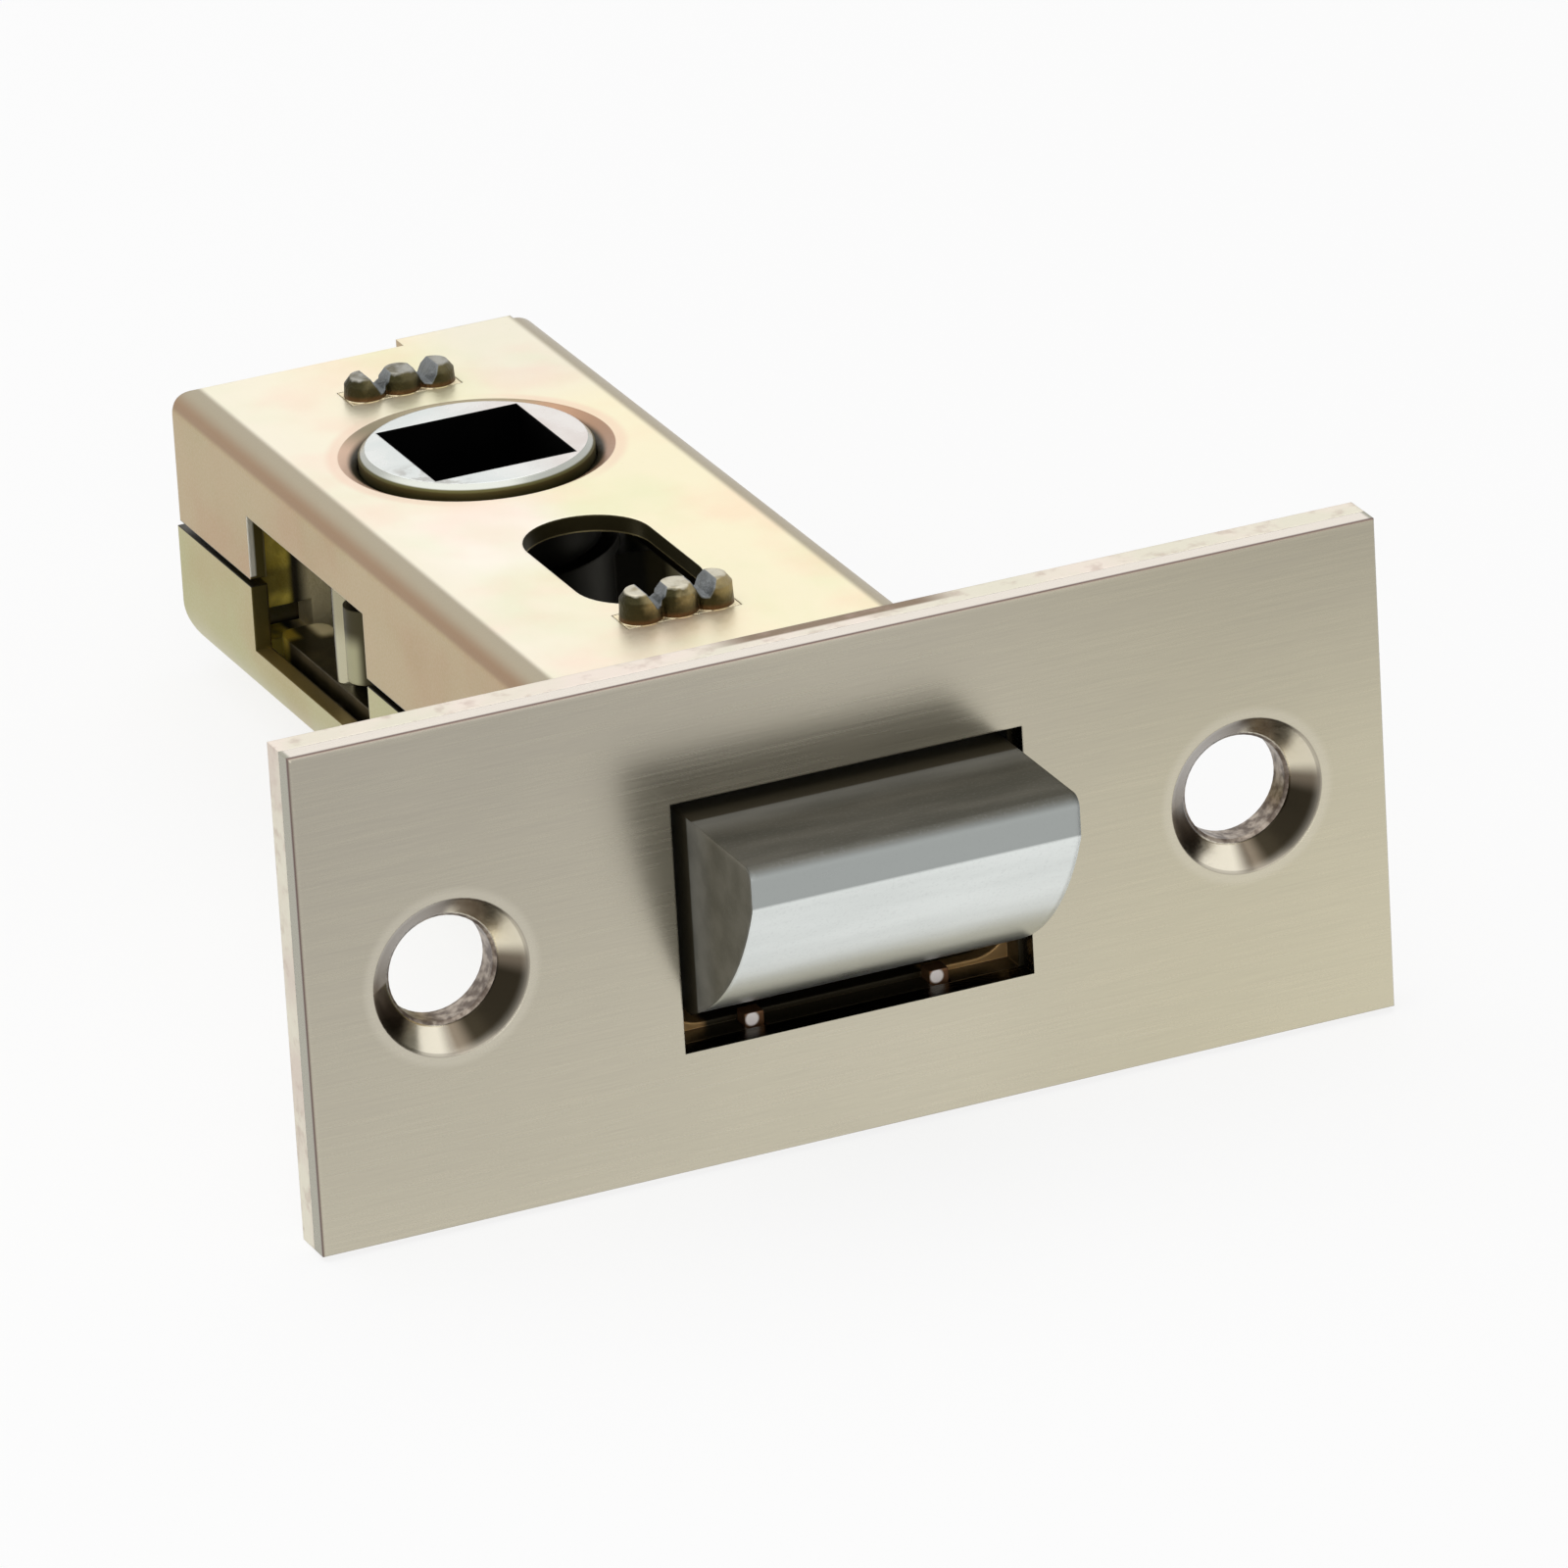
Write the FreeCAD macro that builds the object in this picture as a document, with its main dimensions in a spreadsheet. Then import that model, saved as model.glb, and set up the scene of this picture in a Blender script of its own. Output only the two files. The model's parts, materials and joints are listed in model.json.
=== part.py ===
import FreeCAD, Part
import math
import os
import Sketcher

# Tubular door latch, in millimetres.
# The origin is the centre of the faceplate's outer face. X runs along the faceplate,
# Y runs into the door (the bolt springs out towards -Y) and Z runs along the spindle.

DRIVING_SIZES = [
    ("plate_length", 57.0, "faceplate and backing plate, along X"),
    ("plate_height", 25.8, "faceplate and backing plate, along Z"),
    ("faceplate_thickness", 1.2, "outer finished plate"),
    ("backing_thickness", 1.4, "inner plate that carries the case"),
    ("plate_edge_round", 0.2, "rounding of the faceplate's front edges"),
    ("screw_spacing", 42.0, "between the two fixing screws"),
    ("screw_hole_diameter", 5.4, "through both plates"),
    ("countersink_diameter", 8.1, "at the outer face, 90 degrees included"),
    ("aperture_side", 0.95, "case side to bolt opening in the faceplate, each side"),
    ("aperture_above", 6.3, "bolt opening above the centre line"),
    ("aperture_below", 6.7, "bolt opening below the centre line"),
    ("aperture_inset", 0.25, "how much closer the backing plate holds the bolt, each side"),
    ("case_width", 20.4, "outside of both case halves, along X"),
    ("case_height", 14.7, "outside of the closed case, along Z"),
    ("wall", 0.9, "case sheet"),
    ("lid_rear", 61.0, "rear face of the upper case half, from the origin"),
    ("lid_bend", 1.3, "outer bend radius of the upper half"),
    ("lid_rear_bend", 0.7, "outer bend radius of its rear flange"),
    ("lid_lip", 0.45, "how far the unbent part of the lid stands out behind the flange"),
    ("lid_flange_edge", 2.5, "where the rear flange of the lid ends, along X"),
    ("tray_rear", 61.4, "rear face of the lower case half, from the origin"),
    ("tray_bend", 3.0, "outer bend radius of the lower half"),
    ("split_gap", 0.4, "between the edges of the two halves"),
    ("tab_width", 3.0, "front tabs of the upper half"),
    ("tab_pitch", 10.0, "between the front tabs of the upper half"),
    ("lug_width", 1.0, "upturned lugs at the front of the lower half"),
    ("lug_pitch", 9.8, "between the two lugs"),
    ("lug_reach", 1.0, "how far a lug reaches into the backing plate"),
    ("lug_rise", 0.6, "how far a lug stands above the lower edge of the aperture"),
    ("backset", 45.0, "faceplate to spindle axis"),
    ("hub_diameter", 12.0, "follower neck that turns in the case"),
    ("hub_rim", 0.95, "rolled rim round the hub holes, seen from above"),
    ("hub_rim_depth", 0.55, "depth of the rolled rim"),
    ("hub_stand_out", 0.4, "follower above the face of the case"),
    ("hub_edge", 0.35, "chamfer at the ends of the follower"),
    ("spindle_square", 7.7, "square hole for a 7.6 mm spindle"),
    ("flange_lead", 0.1, "follower flanges that bear on the case, past the drum"),
    ("drum_to_pin", 0.4, "follower drum to the drive pins as they pass"),
    ("arm_lead", 0.7, "centre of an arm's tip past the drive pin, from the spindle axis"),
    ("arm_tip_radius", 1.2, "rounded tip of a follower arm"),
    ("arm_root_reach", 3.5, "leading side of an arm at the hub, from the arm's middle"),
    ("arm_thickness", 4.0, "follower arm, along Z"),
    ("arm_rest_angle", 25.0, "arms point this far forward of sideways at rest, degrees"),
    ("window_ahead", 8.8, "side window in front of the spindle axis"),
    ("window_behind", 6.5, "side window behind the spindle axis"),
    ("window_height", 7.4, "side window, along Z"),
    ("slot_width", 6.6, "slot for a bolt-through fixing"),
    ("slot_length", 12.6, "slot for a bolt-through fixing, end to end"),
    ("slot_ahead", 17.2, "middle of the slot in front of the spindle axis"),
    ("bridge_thickness", 2.0, "cross plates that tie the case halves together"),
    ("front_bridge_ahead", 25.0, "front cross plate in front of the spindle axis"),
    ("rear_bridge_behind", 10.0, "rear cross plate behind the spindle axis"),
    ("stake_width", 6.0, "staked tab of a cross plate"),
    ("front_stake_rise", 1.5, "height of the three punched lobes in front of the slot"),
    ("rear_stake_rise", 1.1, "height of the three punched lobes behind the follower"),
    ("stake_lobe_radius", 1.1, "foot of one punched lobe"),
    ("stake_shoulder", 1.05, "radius of a punched lobe where its rounded top begins"),
    ("stake_top_depth", 0.4, "rounded top of a punched lobe, from its tip down"),
    ("stake_tip_radius", 0.75, "tip of one punched lobe"),
    ("punch_spacing", 2.5, "between the two notches that the punch strikes in a staked tab"),
    ("punch_half", 0.6, "half the width of a struck notch at the lobes' tips"),
    ("punch_floor_half", 0.15, "half the width of a struck notch at its floor"),
    ("punch_depth", 0.8, "depth of a struck notch"),
    ("bolt_projection", 7.8, "latch bolt in front of the faceplate"),
    ("bolt_travel", 7.5, "how far the bolt can be drawn back"),
    ("bolt_side_gap", 0.65, "bolt to faceplate opening, at the sides"),
    ("bolt_upper_gap", 0.7, "bolt to faceplate opening, above"),
    ("bolt_lower_gap", 1.7, "bolt to faceplate opening, below"),
    ("nose_flat", 2.1, "upright flat at the nose of the bolt"),
    ("nose_round", 0.6, "rounding of the nose edges"),
    ("bevel_radius", 16.0, "convex bevel of the bolt"),
    ("bevel_foot", 0.6, "where the bevel ends, behind the outer face"),
    ("bolt_tail_rear", 11.0, "rear face of the bolt casting"),
    ("draw_thickness", 1.2, "draw plates above and below the follower's arms"),
    ("draw_front", 3.5, "front edge of the draw plates"),
    ("draw_rear", 51.5, "rear end of the draw plates"),
    ("tine_round", 0.8, "rounded rear corners of the draw plates"),
    ("rivet_radius", 0.9, "tail rivets through the bolt and the draw plates"),
    ("front_rivet_place", 5.3, "front tail rivet, from the origin"),
    ("rear_rivet_place", 9.0, "rear tail rivet, from the origin"),
    ("pin_radius", 0.8, "drive pins that the follower's arms push"),
    ("pin_end_radius", 0.55, "drive pin where it is riveted into the draw plates"),
    ("pin_head_radius", 0.95, "riveted head of a drive pin"),
    ("pin_head_height", 0.4, "riveted head of a drive pin"),
    ("spring_diameter", 4.7, "outside of the bolt springs"),
    ("spring_wire", 0.6, "wire of the bolt springs"),
    ("spring_turns", 7.0, "open turns of a bolt spring, with one closed turn at each end"),
    ("closed_turn_rise", 1.05, "rise of a closed turn, in wire diameters"),
    ("spring_clearance", 0.2, "radial, between a bolt spring and its pocket"),
    ("tail_clearance", 0.2, "between the tail of the bolt and the case above it"),
    ("pocket_side", 0.85, "metal between a spring pocket and the side of the bolt"),
    ("pocket_depth", 9.0, "spring pockets in the tail of the bolt"),
    ("running_clearance", 0.07, "radial, between the follower and the case"),
    ("fit_clearance", 0.05, "between pieces that are fixed in one another"),
    ("slide_clearance", 0.3, "between sliding pieces and what they pass"),
    ("drive_clearance", 0.3, "between a follower arm and its drive pin at rest"),
]

WIRE_SIDES = 8


class Size:
    """A length that keeps the spreadsheet expression it was worked out from."""

    def __init__(self, number, text):
        self.number = number
        self.text = text

    def __add__(self, other):
        other = as_size(other)
        return Size(self.number + other.number, f"({self.text} + {other.text})")

    def __sub__(self, other):
        other = as_size(other)
        return Size(self.number - other.number, f"({self.text} - {other.text})")

    def __mul__(self, other):
        other = as_size(other)
        return Size(self.number * other.number, f"{self.text} * {other.text}")

    def __truediv__(self, other):
        other = as_size(other)
        return Size(self.number / other.number, f"{self.text} / {other.text}")

    def __neg__(self):
        return Size(-self.number, f"(0 - {self.text})")

    __radd__ = __add__
    __rmul__ = __mul__

    def __rsub__(self, other):
        return as_size(other) - self


def as_size(value):
    return value if isinstance(value, Size) else Size(float(value), repr(float(value)))


def sine(angle):
    return Size(math.sin(math.radians(angle.number)), f"sin({angle.text} * 1 deg)")


def cosine(angle):
    return Size(math.cos(math.radians(angle.number)), f"cos({angle.text} * 1 deg)")


def root(size):
    return Size(math.sqrt(size.number), f"sqrt({size.text})")


class Sizes:
    """The driving sizes, and the sizes that several pieces share."""

    def __init__(self):
        for name, number, note in DRIVING_SIZES:
            setattr(self, name, Size(number, f"Sizes.{name}"))
        self.case_front = self.faceplate_thickness + self.backing_thickness
        self.case_half = self.case_width / 2
        self.case_top = self.case_height / 2
        self.inner_half = self.case_half - self.wall
        self.inner_top = self.case_top - self.wall
        self.aperture_half = self.case_half - self.aperture_side
        self.bolt_half = self.aperture_half - self.bolt_side_gap
        self.bolt_top = self.aperture_above - self.bolt_upper_gap
        self.bolt_bottom = self.aperture_below - self.bolt_lower_gap
        self.shoulder_half = self.inner_half - self.slide_clearance / 2
        self.tail_top = self.inner_top - self.tail_clearance
        self.pocket_radius = self.spring_diameter / 2 + self.spring_clearance
        self.spring_x = self.bolt_half - self.pocket_side - self.pocket_radius
        self.draw_inside = self.pocket_radius + self.slide_clearance + self.fit_clearance
        self.draw_outside = self.draw_inside + self.draw_thickness
        self.draw_half = self.inner_half - self.slide_clearance - self.fit_clearance
        self.hub_gap = self.hub_diameter / 2 + self.slide_clearance
        self.fork_gap = self.slot_width / 2 + self.slide_clearance
        self.hub_top = self.case_top + self.hub_stand_out
        self.pin_x = self.draw_half - self.pin_radius - self.fit_clearance
        self.drum_radius = self.pin_x - self.pin_radius - self.drum_to_pin
        self.arm_reach = self.pin_x + self.arm_lead
        side_step = self.pin_x - self.arm_reach * cosine(self.arm_rest_angle)
        touch = self.arm_tip_radius + self.pin_radius
        self.pin_y = (self.backset - self.arm_reach * sine(self.arm_rest_angle)
                      + root(touch * touch - side_step * side_step) + self.drive_clearance)
        self.front_bridge = self.backset - self.front_bridge_ahead
        self.rear_bridge = self.backset + self.rear_bridge_behind


def write_sheet(doc):
    sheet = doc.addObject("Spreadsheet::Sheet", "Sizes")
    for row, (name, number, note) in enumerate(DRIVING_SIZES, start=1):
        sheet.set(f"A{row}", name)
        sheet.set(f"B{row}", str(number))
        sheet.set(f"C{row}", note)
        sheet.setAlias(f"B{row}", name)
    doc.recompute()


# Sketching

def new_body(doc, label, place=None):
    """A body of its own; place gives the coordinates its own frame is moved to."""
    body = doc.addObject("PartDesign::Body", label)
    body.Label = label
    body.AllowCompound = True
    for axis, size in (place or {}).items():
        body.setExpression(f"Placement.Base.{axis}", as_size(size).text)
    return body


def origin_feature(body, role):
    return next(item for item in body.Origin.OriginFeatures if item.Role == role)


def new_sketch(body, name, plane, level=0):
    """A sketch parallel to an origin plane, level further along the plane's world axis."""
    sketch = body.newObject("Sketcher::SketchObject", name)
    sketch.AttachmentSupport = [(origin_feature(body, f"{plane}_Plane"), "")]
    sketch.MapMode = "FlatFace"
    shift = as_size(level) if plane != "XZ" else -as_size(level)
    sketch.setExpression("AttachmentOffset.Base.z", shift.text)
    return sketch


def hold_point(sketch, geometry, end, u, v):
    """Ties one end of a line or arc to the sheet, measured from the sketch's origin."""
    for kind, size in (("DistanceX", as_size(u)), ("DistanceY", as_size(v))):
        index = sketch.addConstraint(
            Sketcher.Constraint(kind, -1, 1, geometry, end, size.number))
        sketch.setExpression(f"Constraints[{index}]", size.text)


def hold_radius(sketch, geometry, radius):
    index = sketch.addConstraint(Sketcher.Constraint("Radius", geometry, radius.number))
    sketch.setExpression(f"Constraints[{index}]", radius.text)


def arc_between(start, finish, radius):
    """The anticlockwise arc of this radius from start to finish, less than half a turn."""
    chord = finish - start
    left = FreeCAD.Vector(-chord.y, chord.x, 0).normalize()
    height = math.sqrt(max(radius ** 2 - (chord.Length / 2) ** 2, 0))
    centre = (start + finish) / 2 + left * height
    circle = Part.Circle(centre, FreeCAD.Vector(0, 0, 1), radius)
    first = math.atan2(start.y - centre.y, start.x - centre.x)
    last = math.atan2(finish.y - centre.y, finish.x - centre.x)
    return Part.ArcOfCircle(circle, first, last if last > first else last + 2 * math.pi)


def draw_outline(sketch, points):
    """A closed outline. A point is (u, v), or (u, v, radius) where an arc leaves it."""
    flat = [FreeCAD.Vector(as_size(p[0]).number, as_size(p[1]).number, 0) for p in points]
    edges = []
    for index, point in enumerate(points):
        start, finish = flat[index], flat[(index + 1) % len(points)]
        if len(point) == 3:
            edges.append(sketch.addGeometry(
                arc_between(start, finish, as_size(point[2]).number), False))
        else:
            edges.append(sketch.addGeometry(Part.LineSegment(start, finish), False))
    for index, point in enumerate(points):
        hold_point(sketch, edges[index], 1, point[0], point[1])
        following = edges[(index + 1) % len(points)]
        sketch.addConstraint(Sketcher.Constraint("Coincident", edges[index], 2, following, 1))
        if len(point) == 3:
            hold_radius(sketch, edges[index], as_size(point[2]))


def draw_circle(sketch, u, v, radius):
    centre = FreeCAD.Vector(as_size(u).number, as_size(v).number, 0)
    circle = Part.Circle(centre, FreeCAD.Vector(0, 0, 1), as_size(radius).number)
    geometry = sketch.addGeometry(circle, False)
    hold_point(sketch, geometry, 3, u, v)
    hold_radius(sketch, geometry, as_size(radius))


def rectangle(left, right, low, high):
    return [(left, low), (right, low), (right, high), (left, high)]


def centred(half_width, half_height):
    return rectangle(-half_width, half_width, -half_height, half_height)


def long_slot(middle, width, length):
    """A slot along v with full round ends; each end is drawn as two quarter arcs."""
    radius = width / 2
    straight = length / 2 - radius
    return [(-radius, middle - straight, radius), (as_size(0), middle - length / 2, radius),
            (radius, middle - straight), (radius, middle + straight, radius),
            (as_size(0), middle + length / 2, radius), (-radius, middle + straight)]


# Features

def block(body, name, plane, low, high, *outlines):
    """Adds material from low to high along the plane's world axis."""
    sketch = new_sketch(body, f"{name}_sketch", plane, low)
    for outline in outlines:
        draw_outline(sketch, outline)
    return pad_sketch(body, name, sketch, plane, as_size(high) - low)


def pad_sketch(body, name, sketch, plane, length):
    pad = body.newObject("PartDesign::Pad", name)
    pad.Profile = sketch
    pad.Reversed = plane == "XZ"
    pad.setExpression("Length", as_size(length).text)
    return pad


def cut(body, name, plane, low, high, outlines=(), circles=()):
    """Takes material away from low to high along the plane's world axis."""
    sketch = new_sketch(body, f"{name}_sketch", plane, low)
    for outline in outlines:
        draw_outline(sketch, outline)
    for circle in circles:
        draw_circle(sketch, *circle)
    pocket = body.newObject("PartDesign::Pocket", name)
    pocket.Profile = sketch
    pocket.Reversed = plane != "XZ"
    pocket.setExpression("Length", (as_size(high) - low).text)
    return pocket


def turned(body, name, outline, place=0, kind="PartDesign::Revolution"):
    """Turns an outline about the upright axis at this place along Y; a groove cuts."""
    sketch = new_sketch(body, f"{name}_sketch", "XZ", place)
    draw_outline(sketch, outline)
    feature = body.newObject(kind, name)
    feature.Profile = sketch
    feature.ReferenceAxis = (sketch, ["V_Axis"])
    feature.Angle = 360
    return feature


def mirrored(body, feature):
    """The same feature on the other side of the latch's middle plane."""
    mirror = body.newObject("PartDesign::Mirrored", f"{feature.Name}_mirrored")
    mirror.Originals = [feature]
    mirror.MirrorPlane = (origin_feature(body, "YZ_Plane"), [""])
    body.Tip = mirror
    return mirror


def edge_names(feature, wanted):
    """The names of the edges whose end points and middle the test accepts."""
    feature.Document.recompute()
    names = []
    for index, edge in enumerate(feature.Shape.Edges, start=1):
        if wanted(edge.BoundBox):
            names.append(f"Edge{index}")
    return names


def face_names(feature, wanted):
    feature.Document.recompute()
    return [f"Face{index}" for index, face in enumerate(feature.Shape.Faces, start=1)
            if wanted(face.BoundBox)]


def round_edges(body, name, feature, radius, wanted):
    fillet = body.newObject("PartDesign::Fillet", name)
    fillet.Base = (feature, edge_names(feature, wanted))
    fillet.setExpression("Radius", radius.text)
    return fillet


def hollow(body, name, feature, wall, is_open):
    """Leaves a wall inside the block's faces, apart from the open ones."""
    shell = body.newObject("PartDesign::Thickness", name)
    shell.Base = (feature, face_names(feature, is_open))
    shell.setExpression("Value", wall.text)
    shell.Reversed = True
    shell.Join = "Arc"
    return shell


def close(a, b):
    return abs(a - b) < 1e-4


# The two plates at the door's edge

def screw_holes(body, s):
    """Two countersunk screw holes that run through both plates as one cone and bore."""
    axis_x = s.screw_spacing / 2
    sink = s.countersink_diameter / 2
    bore = s.screw_hole_diameter / 2
    sketch = new_sketch(body, "screw_hole_sketch", "XY")
    draw_outline(sketch, [(axis_x, as_size(0)), (axis_x + sink, as_size(0)),
                          (axis_x + bore, sink - bore), (axis_x + bore, s.case_front),
                          (axis_x, s.case_front)])
    axis = sketch.addGeometry(Part.LineSegment(
        FreeCAD.Vector(axis_x.number, 0, 0),
        FreeCAD.Vector(axis_x.number, s.case_front.number, 0)), True)
    hold_point(sketch, axis, 1, axis_x, as_size(0))
    hold_point(sketch, axis, 2, axis_x, s.case_front)
    groove = body.newObject("PartDesign::Groove", "screw_hole")
    groove.Profile = sketch
    groove.ReferenceAxis = (sketch, ["Axis0"])
    groove.Angle = 360
    return mirrored(body, groove)


def make_faceplate(doc, s):
    body = new_body(doc, "faceplate")
    half_aperture = s.aperture_half
    block(body, "plate", "XZ", as_size(0), s.faceplate_thickness,
          centred(s.plate_length / 2, s.plate_height / 2),
          rectangle(-half_aperture, half_aperture, -s.aperture_below, s.aperture_above))
    screw = screw_holes(body, s)
    round_edges(body, "front_edges", screw, s.plate_edge_round,
                lambda box: close(box.YMax, 0) and close(box.YMin, 0)
                and (box.XLength > s.plate_length.number - 1
                     or box.ZLength > s.plate_height.number - 1))


def make_backing_plate(doc, s):
    body = new_body(doc, "backing_plate")
    half_aperture = s.aperture_half - s.aperture_inset
    block(body, "plate", "XZ", s.faceplate_thickness, s.case_front,
          centred(s.plate_length / 2, s.plate_height / 2),
          rectangle(-half_aperture, half_aperture, -s.aperture_below,
                    s.aperture_above - s.aperture_inset))
    low, high = s.faceplate_thickness, s.case_front
    tab_half = s.tab_width / 2 + s.fit_clearance
    lug_half = s.lug_width / 2 + s.fit_clearance
    tab_x, lug_x = s.tab_pitch / 2, s.lug_pitch / 2
    slot = cut(body, "tab_slot", "XZ", low, high,
               [rectangle(tab_x - tab_half, tab_x + tab_half, s.inner_top - s.fit_clearance,
                          s.case_top + s.fit_clearance)])
    mirrored(body, slot)
    notch = cut(body, "lug_notch", "XZ", low, high,
                [rectangle(lug_x - lug_half, lug_x + lug_half,
                           -s.case_top - s.fit_clearance, -s.aperture_below)])
    mirrored(body, notch)
    screw_holes(body, s)


# The case: a folded lid above and a drawn tray below

def case_openings(body, s, side):
    """Hub hole, fixing slot, tab holes and side windows of one case half."""
    low, high = as_size(0), s.case_height
    if side < 0:
        low, high = -high, low
    stake = s.stake_width / 2 + s.fit_clearance
    depth = s.bridge_thickness / 2 + s.fit_clearance
    hub_radius = s.hub_diameter / 2 + s.running_clearance
    cut(body, "hub_hole", "XY", low, high, circles=[(as_size(0), s.backset, hub_radius)])
    tabs = [rectangle(-stake, stake, place - depth, place + depth)
            for place in (s.front_bridge, s.rear_bridge)]
    slot = long_slot(s.backset - s.slot_ahead, s.slot_width, s.slot_length)
    cut(body, "slots", "XY", low, high, outlines=tabs + [slot])
    window_low = as_size(0) if side > 0 else -s.window_height / 2
    window_high = s.window_height / 2 if side > 0 else as_size(0)
    cut(body, "windows", "YZ", -s.case_width, s.case_width,
        [rectangle(s.backset - s.window_ahead, s.backset + s.window_behind,
                   window_low, window_high)])
    turned(body, "hub_rim", rim_outline(s, hub_radius, side), s.backset, "PartDesign::Groove")


def rim_outline(s, hub_radius, side):
    """What the rolled rim takes off the sheet: an arc that starts level with its face."""
    width, depth = s.hub_rim, s.hub_rim_depth
    curve = (width * width + depth * depth) / (depth * 2)
    neck = s.hub_diameter / 2
    if side > 0:
        foot = s.case_top - depth
        return [(hub_radius + width, s.case_top, curve), (hub_radius, foot), (neck, foot),
                (neck, s.case_top)]
    foot = depth - s.case_top
    return [(hub_radius, foot, curve), (hub_radius + width, -s.case_top),
            (neck, -s.case_top), (neck, foot)]


def make_upper_case(doc, s):
    body = new_body(doc, "upper_case_shell")
    front, rear, bottom = s.case_front, s.lid_rear, s.split_gap / 2
    half, top = s.case_half.number, s.case_top.number
    blank = block(body, "blank", "XZ", front, rear,
                  rectangle(-s.case_half, s.case_half, bottom, s.case_top))
    bends = round_edges(body, "bends", blank, s.lid_bend,
                        lambda box: close(box.ZMin, top) and close(abs(box.XMin), half)
                        and close(box.XLength, 0))
    hollow(body, "folded_sheet", bends, s.wall,
           lambda box: (box.YLength < 1e-3 or close(box.ZMax, bottom.number)))
    block(body, "rear_flange", "XZ", rear - s.wall, rear,
          rectangle(-s.inner_half + s.fit_clearance, s.lid_flange_edge, bottom,
                    s.case_top - s.wall / 2))
    bend = s.lid_rear_bend
    cut(body, "rear_bend", "YZ", -s.case_half, s.lid_flange_edge,
        [[(rear, s.case_top - bend, bend), (rear - bend, s.case_top), (rear, s.case_top)]])
    block(body, "rear_lip", "XZ", rear - s.wall, rear + s.lid_lip,
          rectangle(s.lid_flange_edge, s.case_half - s.lid_bend, s.inner_top, s.case_top))
    tab_x, tab_half = s.tab_pitch / 2, s.tab_width / 2
    tab = block(body, "front_tab", "XZ", s.faceplate_thickness, front + s.wall,
                rectangle(tab_x - tab_half, tab_x + tab_half, s.inner_top, s.case_top))
    mirrored(body, tab)
    case_openings(body, s, 1)


def make_lower_case(doc, s):
    body = new_body(doc, "lower_case_shell")
    front, rear, rim = s.case_front, s.tray_rear, -s.split_gap / 2
    half, bottom = s.case_half.number, -s.case_top.number
    blank = block(body, "blank", "XZ", front, rear,
                  rectangle(-s.case_half, s.case_half, -s.case_top, rim))
    bends = round_edges(body, "bends", blank, s.tray_bend,
                        lambda box: close(box.ZMax, bottom)
                        and (close(box.YMin, rear.number)
                             or (close(abs(box.XMin), half) and close(box.XLength, 0))))
    hollow(body, "drawn_tray", bends, s.wall,
           lambda box: (close(box.YMax, front.number) and close(box.YLength, 0))
           or (close(box.ZMin, rim.number) and close(box.ZLength, 0)))
    block(body, "rear_ear", "XZ", rear - s.wall, rear,
          rectangle(s.lid_flange_edge + s.slide_clearance, s.case_half - s.lid_bend,
                    rim - s.wall, s.inner_top - s.fit_clearance * 2))
    lug_x = s.lug_pitch / 2
    lug = block(body, "front_lug", "YZ", lug_x - s.lug_width / 2, lug_x + s.lug_width / 2,
                [(front - s.lug_reach, -s.case_top), (front + s.wall, -s.case_top),
                 (front + s.wall, -s.inner_top), (front - s.fit_clearance, -s.inner_top),
                 (front - s.fit_clearance, -s.aperture_below + s.lug_rise),
                 (front - s.lug_reach, -s.aperture_below + s.lug_rise)])
    mirrored(body, lug)
    case_openings(body, s, -1)


# Cross plates that hold the case halves together

def four_fold(quadrant):
    """The full outline of a form that is the same in all four quadrants."""
    back = list(reversed(quadrant))
    return (quadrant + [(-u, v) for u, v in back]
            + [(-u, -v) for u, v in quadrant] + [(u, -v) for u, v in back])


def each_quadrant(outline):
    """The same outline in all four quadrants."""
    return [[(across * u, up * v) for u, v in outline] for across in (1, -1) for up in (1, -1)]


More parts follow.
